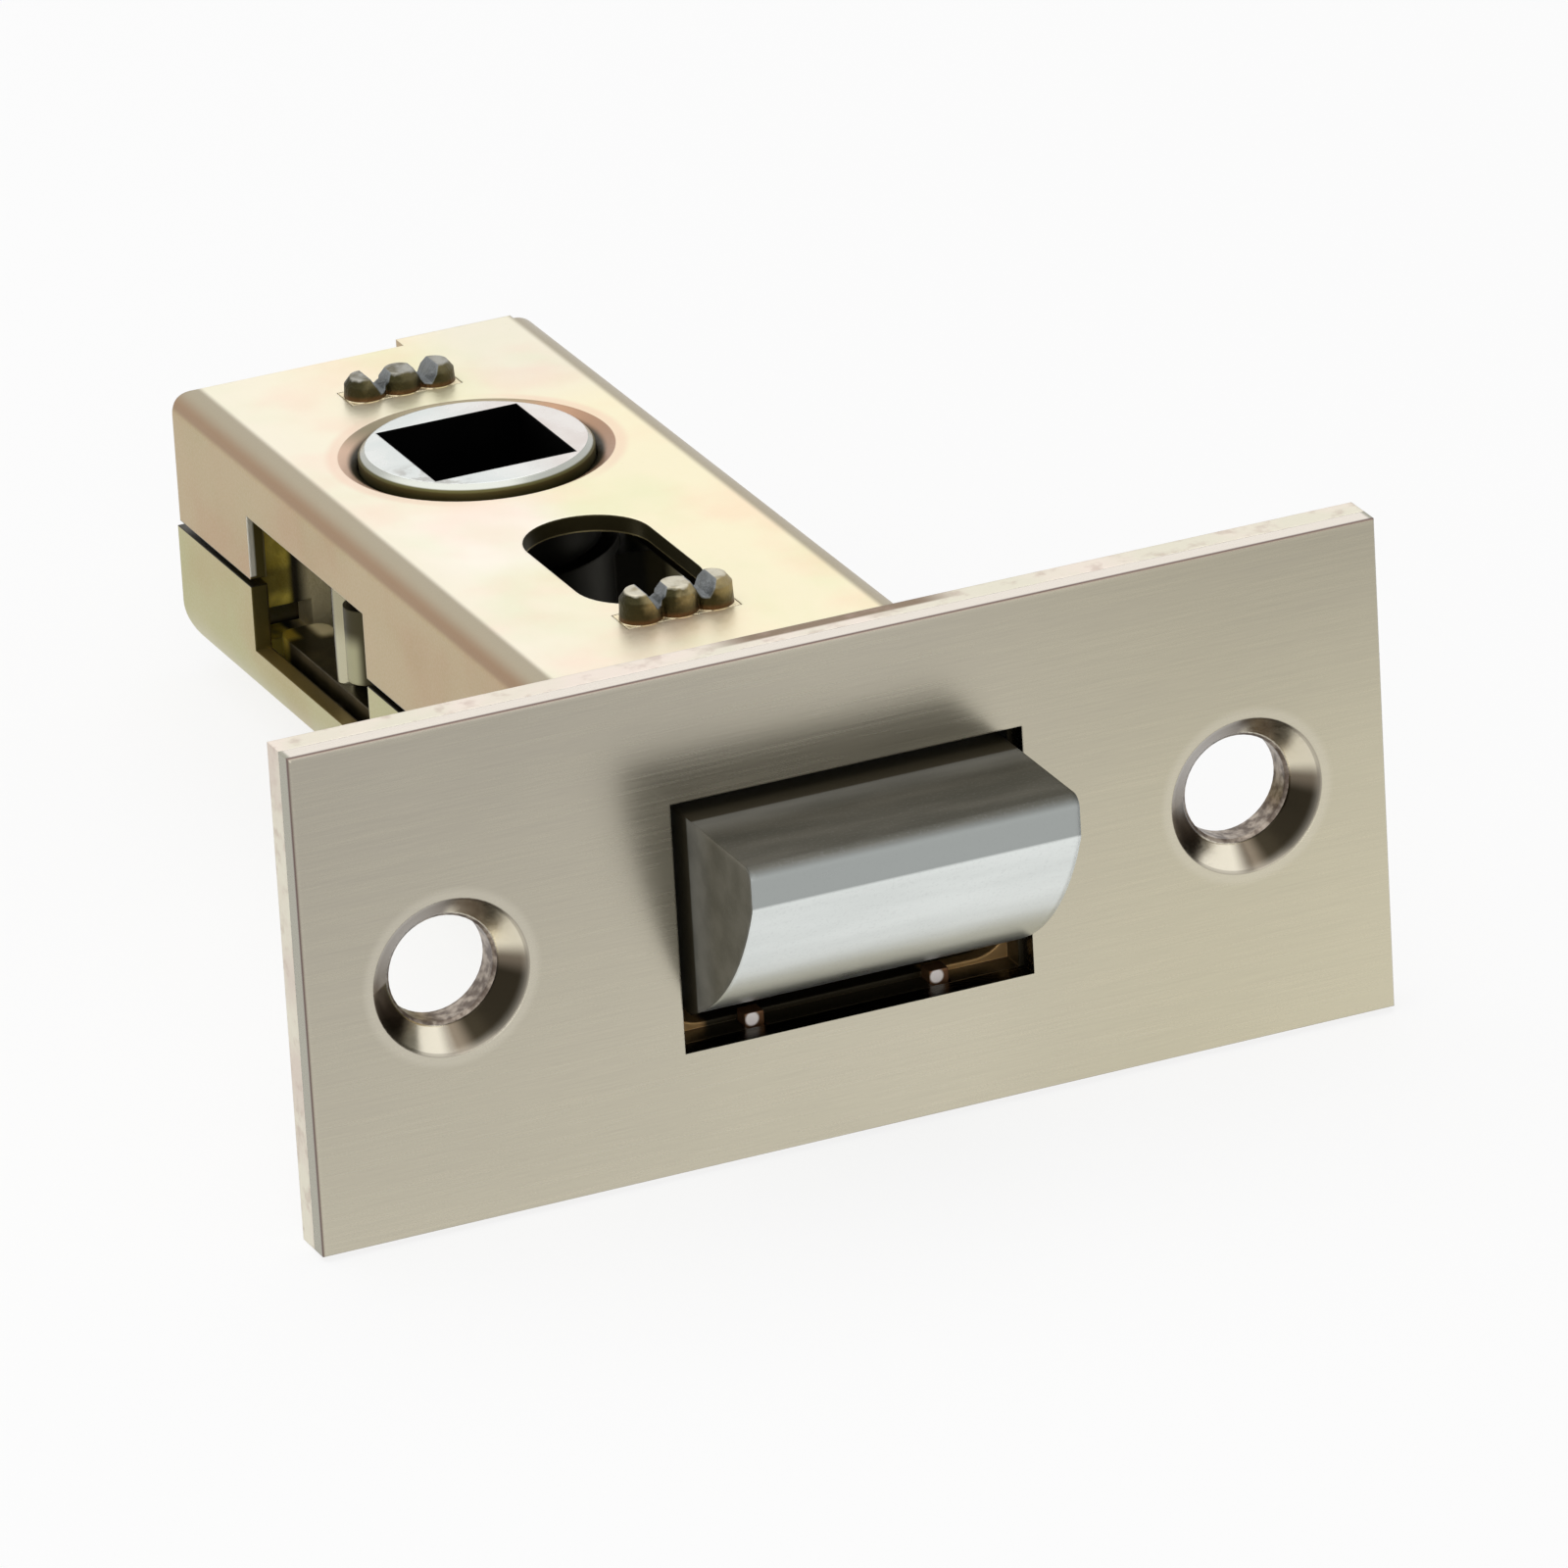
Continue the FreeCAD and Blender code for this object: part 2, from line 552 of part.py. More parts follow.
def make_bridge_plate(doc, s, label, place, column, rise):
    """A cross plate in its own frame; its tabs pass through both halves and are staked."""
    body = new_body(doc, label, {"y": place})
    wing = s.inner_half - s.fit_clearance
    shelf = s.inner_top - s.fit_clearance
    notch_low = s.draw_inside - s.slide_clearance
    notch_high = s.draw_outside + s.slide_clearance
    corner = s.tray_bend - s.wall
    tab = s.stake_width / 2
    half = s.bridge_thickness / 2
    block(body, "plate", "XZ", -half, half,
          four_fold([(wing, notch_low), (column, notch_low), (column, notch_high),
                     (wing, notch_high), (wing - corner, shelf), (tab, shelf),
                     (tab, s.case_top)]))
    lobe_span = s.stake_width / 2 - s.stake_lobe_radius
    start, tip = -lobe_span, s.case_top + rise
    sketch = new_sketch(body, "staked_lobe_sketch", "XZ")
    draw_outline(sketch, [(start, s.case_top), (start + s.stake_lobe_radius, s.case_top),
                          (start + s.stake_shoulder, tip - s.stake_top_depth),
                          (start + s.stake_tip_radius, tip), (start, tip)])
    axis = sketch.addGeometry(Part.LineSegment(
        FreeCAD.Vector(start.number, s.case_top.number, 0),
        FreeCAD.Vector(start.number, tip.number, 0)), True)
    hold_point(sketch, axis, 1, start, s.case_top)
    hold_point(sketch, axis, 2, start, tip)
    lobe = body.newObject("PartDesign::Revolution", "staked_lobe")
    lobe.Profile = sketch
    lobe.ReferenceAxis = (sketch, ["Axis0"])
    lobe.Angle = 360
    row = body.newObject("PartDesign::LinearPattern", "lobe_row")
    row.Direction = (origin_feature(body, "X_Axis"), [""])
    row.setExpression("Length", (2 * lobe_span).text)
    row.Occurrences = 3
    both = body.newObject("PartDesign::Mirrored", "lobes_below")
    both.MirrorPlane = (origin_feature(body, "XY_Plane"), [""])
    lobes = body.newObject("PartDesign::MultiTransform", "staked_lobes")
    lobes.Originals = [lobe]
    lobes.Transformations = [row, both]
    body.Tip = lobes
    strike = s.punch_spacing / 2
    floor = tip - s.punch_depth
    notch = [(strike - s.punch_half, tip), (strike + s.punch_half, tip),
             (strike + s.punch_floor_half, floor), (strike - s.punch_floor_half, floor)]
    cut(body, "struck_notches", "XZ", -s.stake_lobe_radius, s.stake_lobe_radius,
        each_quadrant(notch))


# The latch bolt and what is drawn back with it

def make_latch_bolt(doc, s):
    body = new_body(doc, "latch_bolt")
    tail_front = s.case_front + s.fit_clearance * 2
    nose_foot = s.bolt_top - s.nose_flat
    head = block(body, "head", "YZ", -s.bolt_half, s.bolt_half,
                 [(-s.bolt_projection, nose_foot, s.bevel_radius),
                  (s.bevel_foot, -s.bolt_bottom), (tail_front, -s.bolt_bottom),
                  (tail_front, s.bolt_top), (-s.bolt_projection, s.bolt_top)])
    round_edges(body, "nose_edges", head, s.nose_round,
                lambda box: close(box.YMin, -s.bolt_projection.number) and box.XLength > 1)
    block(body, "tail", "YZ", -s.shoulder_half, s.shoulder_half,
          rectangle(tail_front, s.bolt_tail_rear, -s.bolt_bottom, s.tail_top))
    low = s.draw_inside - s.fit_clearance
    high = s.draw_outside + s.fit_clearance
    front = s.draw_front - s.fit_clearance
    cut(body, "draw_plate_slots", "YZ", -s.case_width, s.case_width,
        [rectangle(front, s.bolt_tail_rear + s.wall, low, high),
         rectangle(front, s.bolt_tail_rear + s.wall, -high, -low)])
    cut(body, "spring_pockets", "XZ", s.bolt_tail_rear - s.pocket_depth,
        s.bolt_tail_rear + s.wall,
        circles=[(s.spring_x, as_size(0), s.pocket_radius),
                 (-s.spring_x, as_size(0), s.pocket_radius)])
    hole = s.rivet_radius + s.fit_clearance / 2
    cut(body, "rivet_holes", "XY", -s.case_height, s.case_height,
        circles=[(as_size(0), s.front_rivet_place, hole),
                 (as_size(0), s.rear_rivet_place, hole)])


def make_draw_plate(doc, s, label, height):
    """A flat fork: its web is riveted in the bolt, its tines pass the hub on both sides."""
    body = new_body(doc, label, {"z": height})
    hub_front = (s.backset - s.hub_diameter / 2 - s.bolt_travel - s.slide_clearance)
    half = [(s.draw_half, s.draw_front), (s.draw_half, s.draw_rear),
            (s.hub_gap, s.draw_rear), (s.hub_gap, hub_front), (s.fork_gap, hub_front),
            (s.fork_gap, s.bolt_tail_rear)]
    outline = half + [(-u, v) for u, v in reversed(half)]
    sketch = new_sketch(body, "fork_sketch", "XY")
    draw_outline(sketch, outline)
    rivet_hole = s.rivet_radius + s.fit_clearance / 2
    pin_hole = s.pin_end_radius + s.fit_clearance / 2
    for place in (s.front_rivet_place, s.rear_rivet_place):
        draw_circle(sketch, as_size(0), place, rivet_hole)
    for x in (s.pin_x, -s.pin_x):
        draw_circle(sketch, x, s.pin_y, pin_hole)
    fork = pad_sketch(body, "fork", sketch, "XY", s.draw_thickness)
    round_edges(body, "tine_ends", fork, s.tine_round,
                lambda box: close(box.YMin, s.draw_rear.number) and close(box.YLength, 0)
                and close(box.XLength, 0))


def make_tail_rivets(doc, s):
    body = new_body(doc, "tail_rivets")
    sketch = new_sketch(body, "rivets_sketch", "XY", -s.bolt_bottom)
    for place in (s.front_rivet_place, s.rear_rivet_place):
        draw_circle(sketch, as_size(0), place, s.rivet_radius)
    pad_sketch(body, "rivets", sketch, "XY", s.tail_top + s.bolt_bottom)


def make_drive_pin(doc, s, label, x):
    body = new_body(doc, label, {"x": x, "y": s.pin_y})
    head_top = s.draw_outside + s.pin_head_height
    steps = [(s.pin_head_radius, -head_top), (s.pin_head_radius, -s.draw_outside),
             (s.pin_end_radius, -s.draw_outside), (s.pin_end_radius, -s.draw_inside),
             (s.pin_radius, -s.draw_inside)]
    other_end = [(u, -v) for u, v in reversed(steps)]
    turned(body, "pin", [(as_size(0), -head_top)] + steps + other_end
           + [(as_size(0), head_top)])


def wire_section(place, coil, radius):
    """The wire's section as a polygon of a few sides, which keeps the coils light."""
    corners = [as_size(360 * side / WIRE_SIDES) for side in range(WIRE_SIDES)]
    return [(place + radius * cosine(turn), coil + radius * sine(turn)) for turn in corners]


def make_bolt_spring(doc, s, label, x):
    """A compression spring with one closed turn at each end, coiled along Y."""
    seat = s.front_bridge - s.bridge_thickness / 2
    foot = s.bolt_tail_rear - s.pocket_depth
    body = new_body(doc, label, {"x": x, "y": foot})
    coil = (s.spring_diameter - s.spring_wire) / 2
    closed = s.spring_wire * s.closed_turn_rise
    room = seat - foot - s.spring_wire
    start = s.spring_wire / 2
    stages = [("first_turn", start, closed, as_size(1)),
              ("open_turns", start + closed, room - 2 * closed, s.spring_turns),
              ("last_turn", start + room - closed, closed, as_size(1))]
    for name, place, height, turns in stages:
        sketch = new_sketch(body, f"{name}_sketch", "YZ")
        draw_outline(sketch, wire_section(place, coil, s.spring_wire / 2))
        helix = body.newObject("PartDesign::AdditiveHelix", name)
        helix.Profile = sketch
        helix.ReferenceAxis = (sketch, ["H_Axis"])
        helix.Mode = "height-turns-angle"
        helix.setExpression("Height", height.text)
        helix.setExpression("Turns", turns.text)


# The follower that the spindle turns

def make_follower(doc, s):
    body = new_body(doc, "follower", {"y": s.backset})
    neck, drum = s.hub_diameter / 2, s.drum_radius
    flange = drum + s.flange_lead
    flange_top = s.inner_top - s.running_clearance
    flange_foot = s.draw_outside + s.pin_head_height + s.slide_clearance
    drum_top = s.draw_inside - s.slide_clearance
    upper = [(drum, drum_top), (neck, drum_top), (neck, flange_foot), (flange, flange_foot),
             (flange, flange_top), (neck, flange_top), (neck, s.hub_top - s.hub_edge),
             (neck - s.hub_edge, s.hub_top), (as_size(0), s.hub_top)]
    turned(body, "hub", [(u, -v) for u, v in reversed(upper)] + upper)
    along_x, along_y = cosine(s.arm_rest_angle), -sine(s.arm_rest_angle)
    tip_x, tip_y = s.arm_reach * along_x, s.arm_reach * along_y
    root_reach, tip = s.arm_root_reach, s.arm_tip_radius
    across_x, across_y = -along_y, along_x
    arm = block(body, "arm", "XY", -s.arm_thickness / 2, s.arm_thickness / 2,
                [(-root_reach * across_x, -root_reach * across_y),
                 (tip_x - tip * across_x, tip_y - tip * across_y, tip),
                 (tip_x + tip * along_x, tip_y + tip * along_y, tip),
                 (tip_x + tip * across_x, tip_y + tip * across_y),
                 (tip * across_x, tip * across_y)])
    mirrored(body, arm)
    square = s.spindle_square / 2
    cut(body, "spindle_hole", "XY", -s.case_height, s.case_height, [centred(square, square)])


def check_document(doc):
    """Every feature computed, every cut took material away, every piece is a valid solid."""
    for item in doc.Objects:
        if "Invalid" in item.State or "Error" in item.State:
            raise RuntimeError(f"{item.Name} of {item.getParentGeoFeatureGroup()} failed")
        if item.TypeId in ("PartDesign::Pocket", "PartDesign::Groove"):
            if item.Shape.Volume > item.BaseFeature.Shape.Volume - 1e-3:
                raise RuntimeError(f"{item.Name} cut nothing")


def export_pieces(doc):
    os.makedirs("parts", exist_ok=True)
    for body in doc.Objects:
        if body.TypeId != "PartDesign::Body":
            continue
        if body.Shape.isNull() or not body.Shape.isValid() or not body.Shape.Solids:
            raise RuntimeError(f"{body.Label} is not a valid solid")
        body.Shape.exportStep(f"parts/{body.Label}.step")
        print(f"{body.Label}: {len(body.Shape.Solids)} solid, {body.Shape.Volume:.1f} mm3")


def main():
    doc = FreeCAD.newDocument("tubular_latch")
    write_sheet(doc)
    s = Sizes()
    make_faceplate(doc, s)
    make_backing_plate(doc, s)
    make_upper_case(doc, s)
    make_lower_case(doc, s)
    make_bridge_plate(doc, s, "front_bridge_plate", s.front_bridge,
                      s.fork_gap - s.slide_clearance, s.front_stake_rise)
    make_bridge_plate(doc, s, "rear_bridge_plate", s.rear_bridge,
                      s.hub_gap - s.slide_clearance, s.rear_stake_rise)
    make_latch_bolt(doc, s)
    make_draw_plate(doc, s, "upper_draw_plate", s.draw_inside)
    make_draw_plate(doc, s, "lower_draw_plate", -s.draw_outside)
    make_tail_rivets(doc, s)
    make_drive_pin(doc, s, "left_drive_pin", -s.pin_x)
    make_drive_pin(doc, s, "right_drive_pin", s.pin_x)
    make_bolt_spring(doc, s, "left_bolt_spring", -s.spring_x)
    make_bolt_spring(doc, s, "right_bolt_spring", s.spring_x)
    make_follower(doc, s)
    doc.recompute()
    check_document(doc)
    export_pieces(doc)


main()
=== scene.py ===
import json
import math
import bpy
from mathutils import Matrix, Vector


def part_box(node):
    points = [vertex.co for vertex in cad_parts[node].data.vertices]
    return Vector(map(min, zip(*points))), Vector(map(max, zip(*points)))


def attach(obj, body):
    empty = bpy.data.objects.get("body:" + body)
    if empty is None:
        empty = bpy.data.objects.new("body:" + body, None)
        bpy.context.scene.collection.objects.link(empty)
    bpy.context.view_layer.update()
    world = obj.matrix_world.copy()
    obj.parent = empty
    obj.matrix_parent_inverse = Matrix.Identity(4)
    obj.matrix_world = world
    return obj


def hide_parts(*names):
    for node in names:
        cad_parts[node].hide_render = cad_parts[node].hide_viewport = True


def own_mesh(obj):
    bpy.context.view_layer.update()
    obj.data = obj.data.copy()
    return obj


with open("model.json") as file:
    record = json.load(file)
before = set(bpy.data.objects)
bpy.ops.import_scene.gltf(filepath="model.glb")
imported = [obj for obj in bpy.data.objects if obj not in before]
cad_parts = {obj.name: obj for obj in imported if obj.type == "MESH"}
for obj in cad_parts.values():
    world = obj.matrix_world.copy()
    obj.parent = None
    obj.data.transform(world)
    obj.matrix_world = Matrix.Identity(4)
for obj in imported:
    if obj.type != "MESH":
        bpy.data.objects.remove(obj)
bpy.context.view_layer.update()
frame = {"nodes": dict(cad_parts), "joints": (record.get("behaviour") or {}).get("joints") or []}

# Sizes are written in millimetres and MM turns them into metres. X runs along the faceplate, Y
# from its outer face back into the case, and Z up along the spindle.
MM = 0.001

# The camera looks at a point inside the case, along the photograph's viewing angle.
CAMERA_TARGET = (6.2, 22.5, -4.2)
CAMERA_AZIMUTH = -22.9
CAMERA_ELEVATION = 22.8
CAMERA_ROLL = -3.4
CAMERA_DISTANCE = 735.7
CAMERA_LENS = 340.8
CAMERA_SENSOR = 36.0
CAMERA_NEAREST = 10
CAMERA_FARTHEST = 20000


def box_mm(node):
    low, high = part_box(node)
    return Vector(low) / MM, Vector(high) / MM


PLATE_HIGH = box_mm("faceplate")[1]
BACKING_LOW, BACKING_HIGH = box_mm("backing_plate")
LID_HIGH = box_mm("upper_case_shell")[1]
HUB_LOW, HUB_HIGH = box_mm("follower")
FRONT_TAB_LOW, FRONT_TAB_HIGH = box_mm("front_bridge_plate")
REAR_TAB_LOW, REAR_TAB_HIGH = box_mm("rear_bridge_plate")
DRAW_PLATE_REAR = box_mm("upper_draw_plate")[1].y
HUB_MIDDLE = (HUB_LOW.y + HUB_HIGH.y) / 2
TAB_STRETCHES = [(FRONT_TAB_LOW.y, FRONT_TAB_HIGH.y), (REAR_TAB_LOW.y, REAR_TAB_HIGH.y)]

# Sizes of the plates that their boxes don't give
SCREW_SPACING = 42.0
SINK_RADIUS = 4.05
APERTURE_HALF = 9.25
APERTURE_HALF_HEIGHT = 7.4

# The case: its sheet, side windows, split line and the tray's floor and lugs in the opening
SHEET = 0.9
LID_BEND = 1.3
WINDOW_HALF_HEIGHT = 3.7
SPLIT_HALF = 0.2
TRAY_FLOOR = -7.2
TRAY_FLOOR_SEEN = 6.0
LUG_PLACE = 4.9
# Where the painted glint sits on each lug's front
LUG_SHINE_HEIGHT = -6.42
LUG_SHINE_SHIFT = 0.12

# The follower and the case's rolled rim round it
HUB_RADIUS = 6.0
HUB_RIM_RADIUS = 7.05
SPINDLE_HALF = 3.85

# The bridge plates: the notches between their lobes, and the wings that reach the windows
NOTCH_PLACE = 1.25
NOTCH_DEPTH = 0.8
NOTCH_TOP_HALF = 0.6
NOTCH_FLOOR_HALF = 0.15
WING_START = 6.9


# Node trees

class Value:
    """One node's output, which can stand in sums; each operation adds a Math node."""

    def __init__(self, maker, socket):
        self.maker = maker
        self.socket = socket

    def __neg__(self):
        return self.math("MULTIPLY", self, -1.0)

    def other(self, name):
        """Another output of the same node."""
        return Value(self.maker, self.socket.node.outputs[name])

    def math(self, operation, *values, clamp=False):
        settings = {"operation": operation, "use_clamp": clamp}
        return self.maker.add("ShaderNodeMath", settings, dict(enumerate(values)))

    def __add__(self, value):
        return self.math("ADD", self, value)

    def __sub__(self, value):
        return self.math("SUBTRACT", self, value)

    def __rsub__(self, value):
        return self.math("SUBTRACT", value, self)

    def __mul__(self, value):
        return self.math("MULTIPLY", self, value)

    def __truediv__(self, value):
        return self.math("DIVIDE", self, value)

    def __abs__(self):
        return self.math("ABSOLUTE", self)

    def __pow__(self, value):
        return self.math("POWER", self, value)

    __radd__ = __add__
    __rmul__ = __mul__

    def least(self, value):
        return self.math("MINIMUM", self, value)

    def most(self, value):
        return self.math("MAXIMUM", self, value)

    def held(self):
        """The value kept between 0 and 1."""
        return self.math("ADD", self, 0.0, clamp=True)

    def rise(self, low, high):
        """A mask that goes smoothly from 0 at low to 1 at high."""
        ends = {"Value": self, "From Min": low, "From Max": high}
        return self.maker.add("ShaderNodeMapRange", {"interpolation_type": "SMOOTHSTEP"},
                              ends, "Result")

    def fall(self, low, high):
        """A mask that goes smoothly from 1 at low to 0 at high."""
        return 1 - self.rise(low, high)

    def band(self, low, high, soft):
        """A mask of the stretch from low to high, with soft ends outside it."""
        return self.rise(low - soft, low) * self.fall(high, high + soft)


class NodeMaker:
    """Adds nodes to one tree, with their settings first and then their inputs."""

    def __init__(self, tree):
        self.tree = tree

    def add(self, kind, settings=None, inputs=None, output=0):
        node = self.tree.nodes.new(kind)
        for name, value in (settings or {}).items():
            setattr(node, name, value)
        for name, value in (inputs or {}).items():
            self.feed(node.inputs[name], value)
        return Value(self, node.outputs[output])

    def feed(self, socket, value):
        if isinstance(value, Value):
            self.tree.links.new(value.socket, socket)
        else:
            socket.default_value = value


class Finish(NodeMaker):
    """A material: its shader, and the patterns that its recipes are made of."""

    def __init__(self, name, constants):
        self.material = bpy.data.materials.new(name)
        self.material.use_nodes = True
        super().__init__(self.material.node_tree)
        self.shader = self.tree.nodes["Principled BSDF"]
        for socket, value in constants.items():
            self.shader.inputs[socket].default_value = value
        self.spot = self.add("ShaderNodeTexCoord", output="Object")
        scale = {0: self.spot, "Scale": 1 / MM}
        self.place = self.add("ShaderNodeVectorMath", {"operation": "SCALE"}, scale)

    def parts(self, vector, axes):
        first = self.add("ShaderNodeSeparateXYZ", inputs={0: vector}, output=axes[0])
        return [first] + [first.other(axis) for axis in axes[1:]]

    def at(self, axes="XYZ"):
        """Where a point of the surface is, in millimetres along these axes."""
        return self.parts(self.place, axes)

    def facing(self, axes):
        """Which way the surface faces, as its share along these axes."""
        return self.parts(self.spot.other("Normal"), axes)

    def noise(self, size, detail=2.0, stretch=(1, 1, 1), seed=0.0):
        """Noise around 0.5 whose features are about size millimetres wide."""
        reach = tuple(1 / (size * part) for part in stretch)
        inputs = {0: self.place, 1: reach, 2: (seed, seed, seed)}
        vector = self.add("ShaderNodeVectorMath", {"operation": "MULTIPLY_ADD"}, inputs)
        inputs = {"Vector": vector, "Scale": 1.0, "Detail": detail}
        return self.add("ShaderNodeTexNoise", {}, inputs, "Fac")

    def blend(self, share, first, second, kind="MIX"):
        """The first colour where share is 0 and the second where it is 1."""
        settings = {"data_type": "RGBA", "blend_type": kind, "clamp_factor": True}
        return self.add("ShaderNodeMix", settings, {
            0: share, 6: whole_colour(first), 7: whole_colour(second)}, 2)

    def soft_edges(self, radius):
        """A normal that rounds sharp edges off."""
        return self.add("ShaderNodeBevel", {"samples": 4}, {"Radius": radius * MM})

    def edge_mask(self, rounded):
        """A mask of the edges where the rounded normal leaves the flat one."""
        flat = self.add("ShaderNodeNewGeometry", output="Normal")
        return 1 - self.add("ShaderNodeVectorMath", {"operation": "DOT_PRODUCT"},
                            {0: rounded, 1: flat}, "Value")

    def relief(self, height, depth, normal):
        """Bumps of about depth millimetres on top of a normal."""
        return self.add("ShaderNodeBump", {}, {
            "Strength": 1.0, "Distance": depth * MM, "Height": height, "Normal": normal})

    def set(self, colour, roughness, normal, metallic=None):
        self.feed(self.shader.inputs["Base Color"], whole_colour(colour))
        self.feed(self.shader.inputs["Roughness"], roughness)
        self.feed(self.shader.inputs["Normal"], normal)
        if metallic is not None:
            self.feed(self.shader.inputs["Metallic"], metallic)
        return self.material


def whole_colour(colour):
    return colour if isinstance(colour, Value) else (*colour, 1.0)


# Finishes

BRIGHT_CUT = (0.95, 0.92, 0.80)
# Painted shade: a near-black colour for openings, gaps and faces inside the case
INSIDE_SHADE = (0.030, 0.024, 0.012)
# A painted pale sheen for faces deep inside the case
PALE_SHEEN = (1.0, 0.86, 0.50)
SINK_REFLECTIONS = [
    (16, 74, (0.70, 0.64, 0.50)),
    (-70, -14, (0.030, 0.024, 0.015)),
    (-126, -102, (0.84, 0.78, 0.64)),
    (-172, -146, (0.09, 0.075, 0.055)),
]


def sink_reflection(finish, turn):
    """Painted reflections in a polished countersink, by the angle round the hole in degrees."""
    colour = (0.16, 0.13, 0.095)
    for first, last, tone in SINK_REFLECTIONS:
        part = turn.band(math.radians(first), math.radians(last), math.radians(16))
        colour = finish.blend(part, colour, tone)
    return colour


def distance(first, second):
    return (first * first + second * second) ** 0.5


def past_screw(x):
    """How far along the plate a point is from the nearer screw."""
    return x - x.math("SIGN", x) * (SCREW_SPACING / 2)


def satin_nickel():
    """The faceplate: its brushing runs along its length; painted light lies across it and painted
    reflections fill its countersinks.
    """
    finish = Finish("satin_nickel", {"Metallic": 1.0})
    x, y, z = finish.at()
    [front] = finish.facing("Y")
    streaks = finish.noise(0.16, 3, stretch=(60, 1, 1))
    hairs = finish.noise(0.06, 2, stretch=(40, 1, 1), seed=5)
    cloud = finish.noise(16, 2, stretch=(2, 1, 1))
    # Painted light: lighter to the right and downwards and less so in the upper right, with a
    # painted pool of light below the bolt and a painted dark reflection above its left end; the
    # brushing rides on top
    upper_right = x.most(0.0) * z.most(0.0)
    lit_below_bolt = abs(x).fall(5, 11) * z.band(-11.5, -8.5, 3.0)
    shaded_above_bolt = x.band(-17, -8, 6) * z.rise(6, 10)
    brushing = (streaks - 0.5) * 0.35 + (hairs - 0.5) * 0.3 + (cloud - 0.5) * 0.3
    light = (0.52 + x * 0.0078 - z * 0.02 - upper_right * 0.0012
             + lit_below_bolt * 0.11 - shaded_above_bolt * 0.08 + brushing).held()
    brushed_and_lit = finish.blend(light, (0.40, 0.37, 0.305), (0.62, 0.575, 0.45))
    brushed_and_lit = finish.blend(x.rise(0, 20), brushed_and_lit, (0.985, 0.98, 0.93), "MULTIPLY")
    along = past_screw(x)
    far, turn = distance(along, z), z.math("ARCTAN2", z, along)
    in_hole = far.fall(SINK_RADIUS - 0.1, SINK_RADIUS + 0.02)
    side = (1 - abs(front).rise(0.3, 0.9)) * (1 - in_hole)
    at_end = abs(x).rise(PLATE_HIGH.x - 0.3, PLATE_HIGH.x - 0.1)
    sheared = finish.blend(at_end, (0.80, 0.735, 0.65), (0.36, 0.345, 0.275))
    sheared = finish.blend(y.rise(0.16, 0.36), (0.15, 0.10, 0.085), sheared)
    in_aperture = side * abs(x).fall(APERTURE_HALF + 0.3, APERTURE_HALF + 0.6)
    in_aperture = in_aperture * abs(z).fall(APERTURE_HALF_HEIGHT + 0.6, APERTURE_HALF_HEIGHT + 1.6)
    normal = finish.soft_edges(0.12)
    colour = finish.blend(side, brushed_and_lit, sheared)
    colour = finish.blend(in_hole, colour, sink_reflection(finish, turn))
    outline = far.band(SINK_RADIUS - 0.12, SINK_RADIUS - 0.02, 0.06) * 0.45
    colour = finish.blend(outline, colour, (0.10, 0.08, 0.06))
    # A faint painted halo of light round each countersink
    colour = finish.blend(far.band(SINK_RADIUS + 0.1, SINK_RADIUS + 0.2, 0.5) * 0.25,
                          colour, (0.76, 0.71, 0.60))
    # Painted shade on the aperture's walls
    colour = finish.blend(in_aperture, colour, INSIDE_SHADE)
    roughness = 0.26 + (streaks - 0.5) * 0.15 - in_hole * 0.08
    height = (streaks + hairs * 0.4) * (1 - in_hole)
    return finish.set(colour, roughness, finish.relief(height, 0.0015, normal))


def plated_edge():
    """The backing plate: pale plated steel, with a painted shadow line beside the lid and painted
    shade in its opening and screw holes.
    """
    finish = Finish("backing_zinc", {"Metallic": 0.8})
    x, y, z = finish.at()
    across, up = finish.facing("XZ")
    patches = finish.noise(5, 4, seed=6)
    grain = finish.noise(0.15, 3, seed=8)
    pinkish = finish.blend(abs(across), (0.84, 0.74, 0.65), (0.69, 0.60, 0.51))
    colour = finish.blend(patches.rise(0.4, 0.65), pinkish, (0.76, 0.72, 0.59))
    # A painted shadow: the plate's shadow on the lid shows as a brown line along its top-rear edge
    rear_half = y.rise(BACKING_HIGH.y - 0.85, BACKING_HIGH.y - 0.6)
    lid_shadow_line = up.rise(0.6, 0.9) * rear_half * x.band(-3.5, 5.0, 3.0)
    colour = finish.blend(lid_shadow_line, colour, (0.24, 0.165, 0.10))
    blots = finish.noise(0.9, 3, seed=3)
    colour = finish.blend(blots.rise(0.50, 0.72) * 0.4, colour, (0.44, 0.31, 0.25))
    far = distance(past_screw(x), z)
    # Painted shade, mottled, in the screw holes
    bore = finish.blend(finish.noise(0.5, 3, seed=2).rise(0.35, 0.7), (0.13, 0.10, 0.08),
                        (0.42, 0.36, 0.30))
    colour = finish.blend(far.fall(SINK_RADIUS - 0.6, SINK_RADIUS - 0.4), colour, bore)
    # Painted shade on the opening's walls
    in_aperture = abs(x).fall(APERTURE_HALF + 0.1, APERTURE_HALF + 0.2)
    in_aperture = in_aperture * abs(z).fall(APERTURE_HALF_HEIGHT, APERTURE_HALF_HEIGHT + 0.1)
    in_aperture = in_aperture * y.fall(BACKING_HIGH.y - 0.05, BACKING_HIGH.y)
    colour = finish.blend(in_aperture, colour, INSIDE_SHADE)
    normal = finish.soft_edges(0.15)
    roughness = 0.38 + (grain - 0.5) * 0.25
    return finish.set(colour, roughness, finish.relief(grain, 0.005, normal))


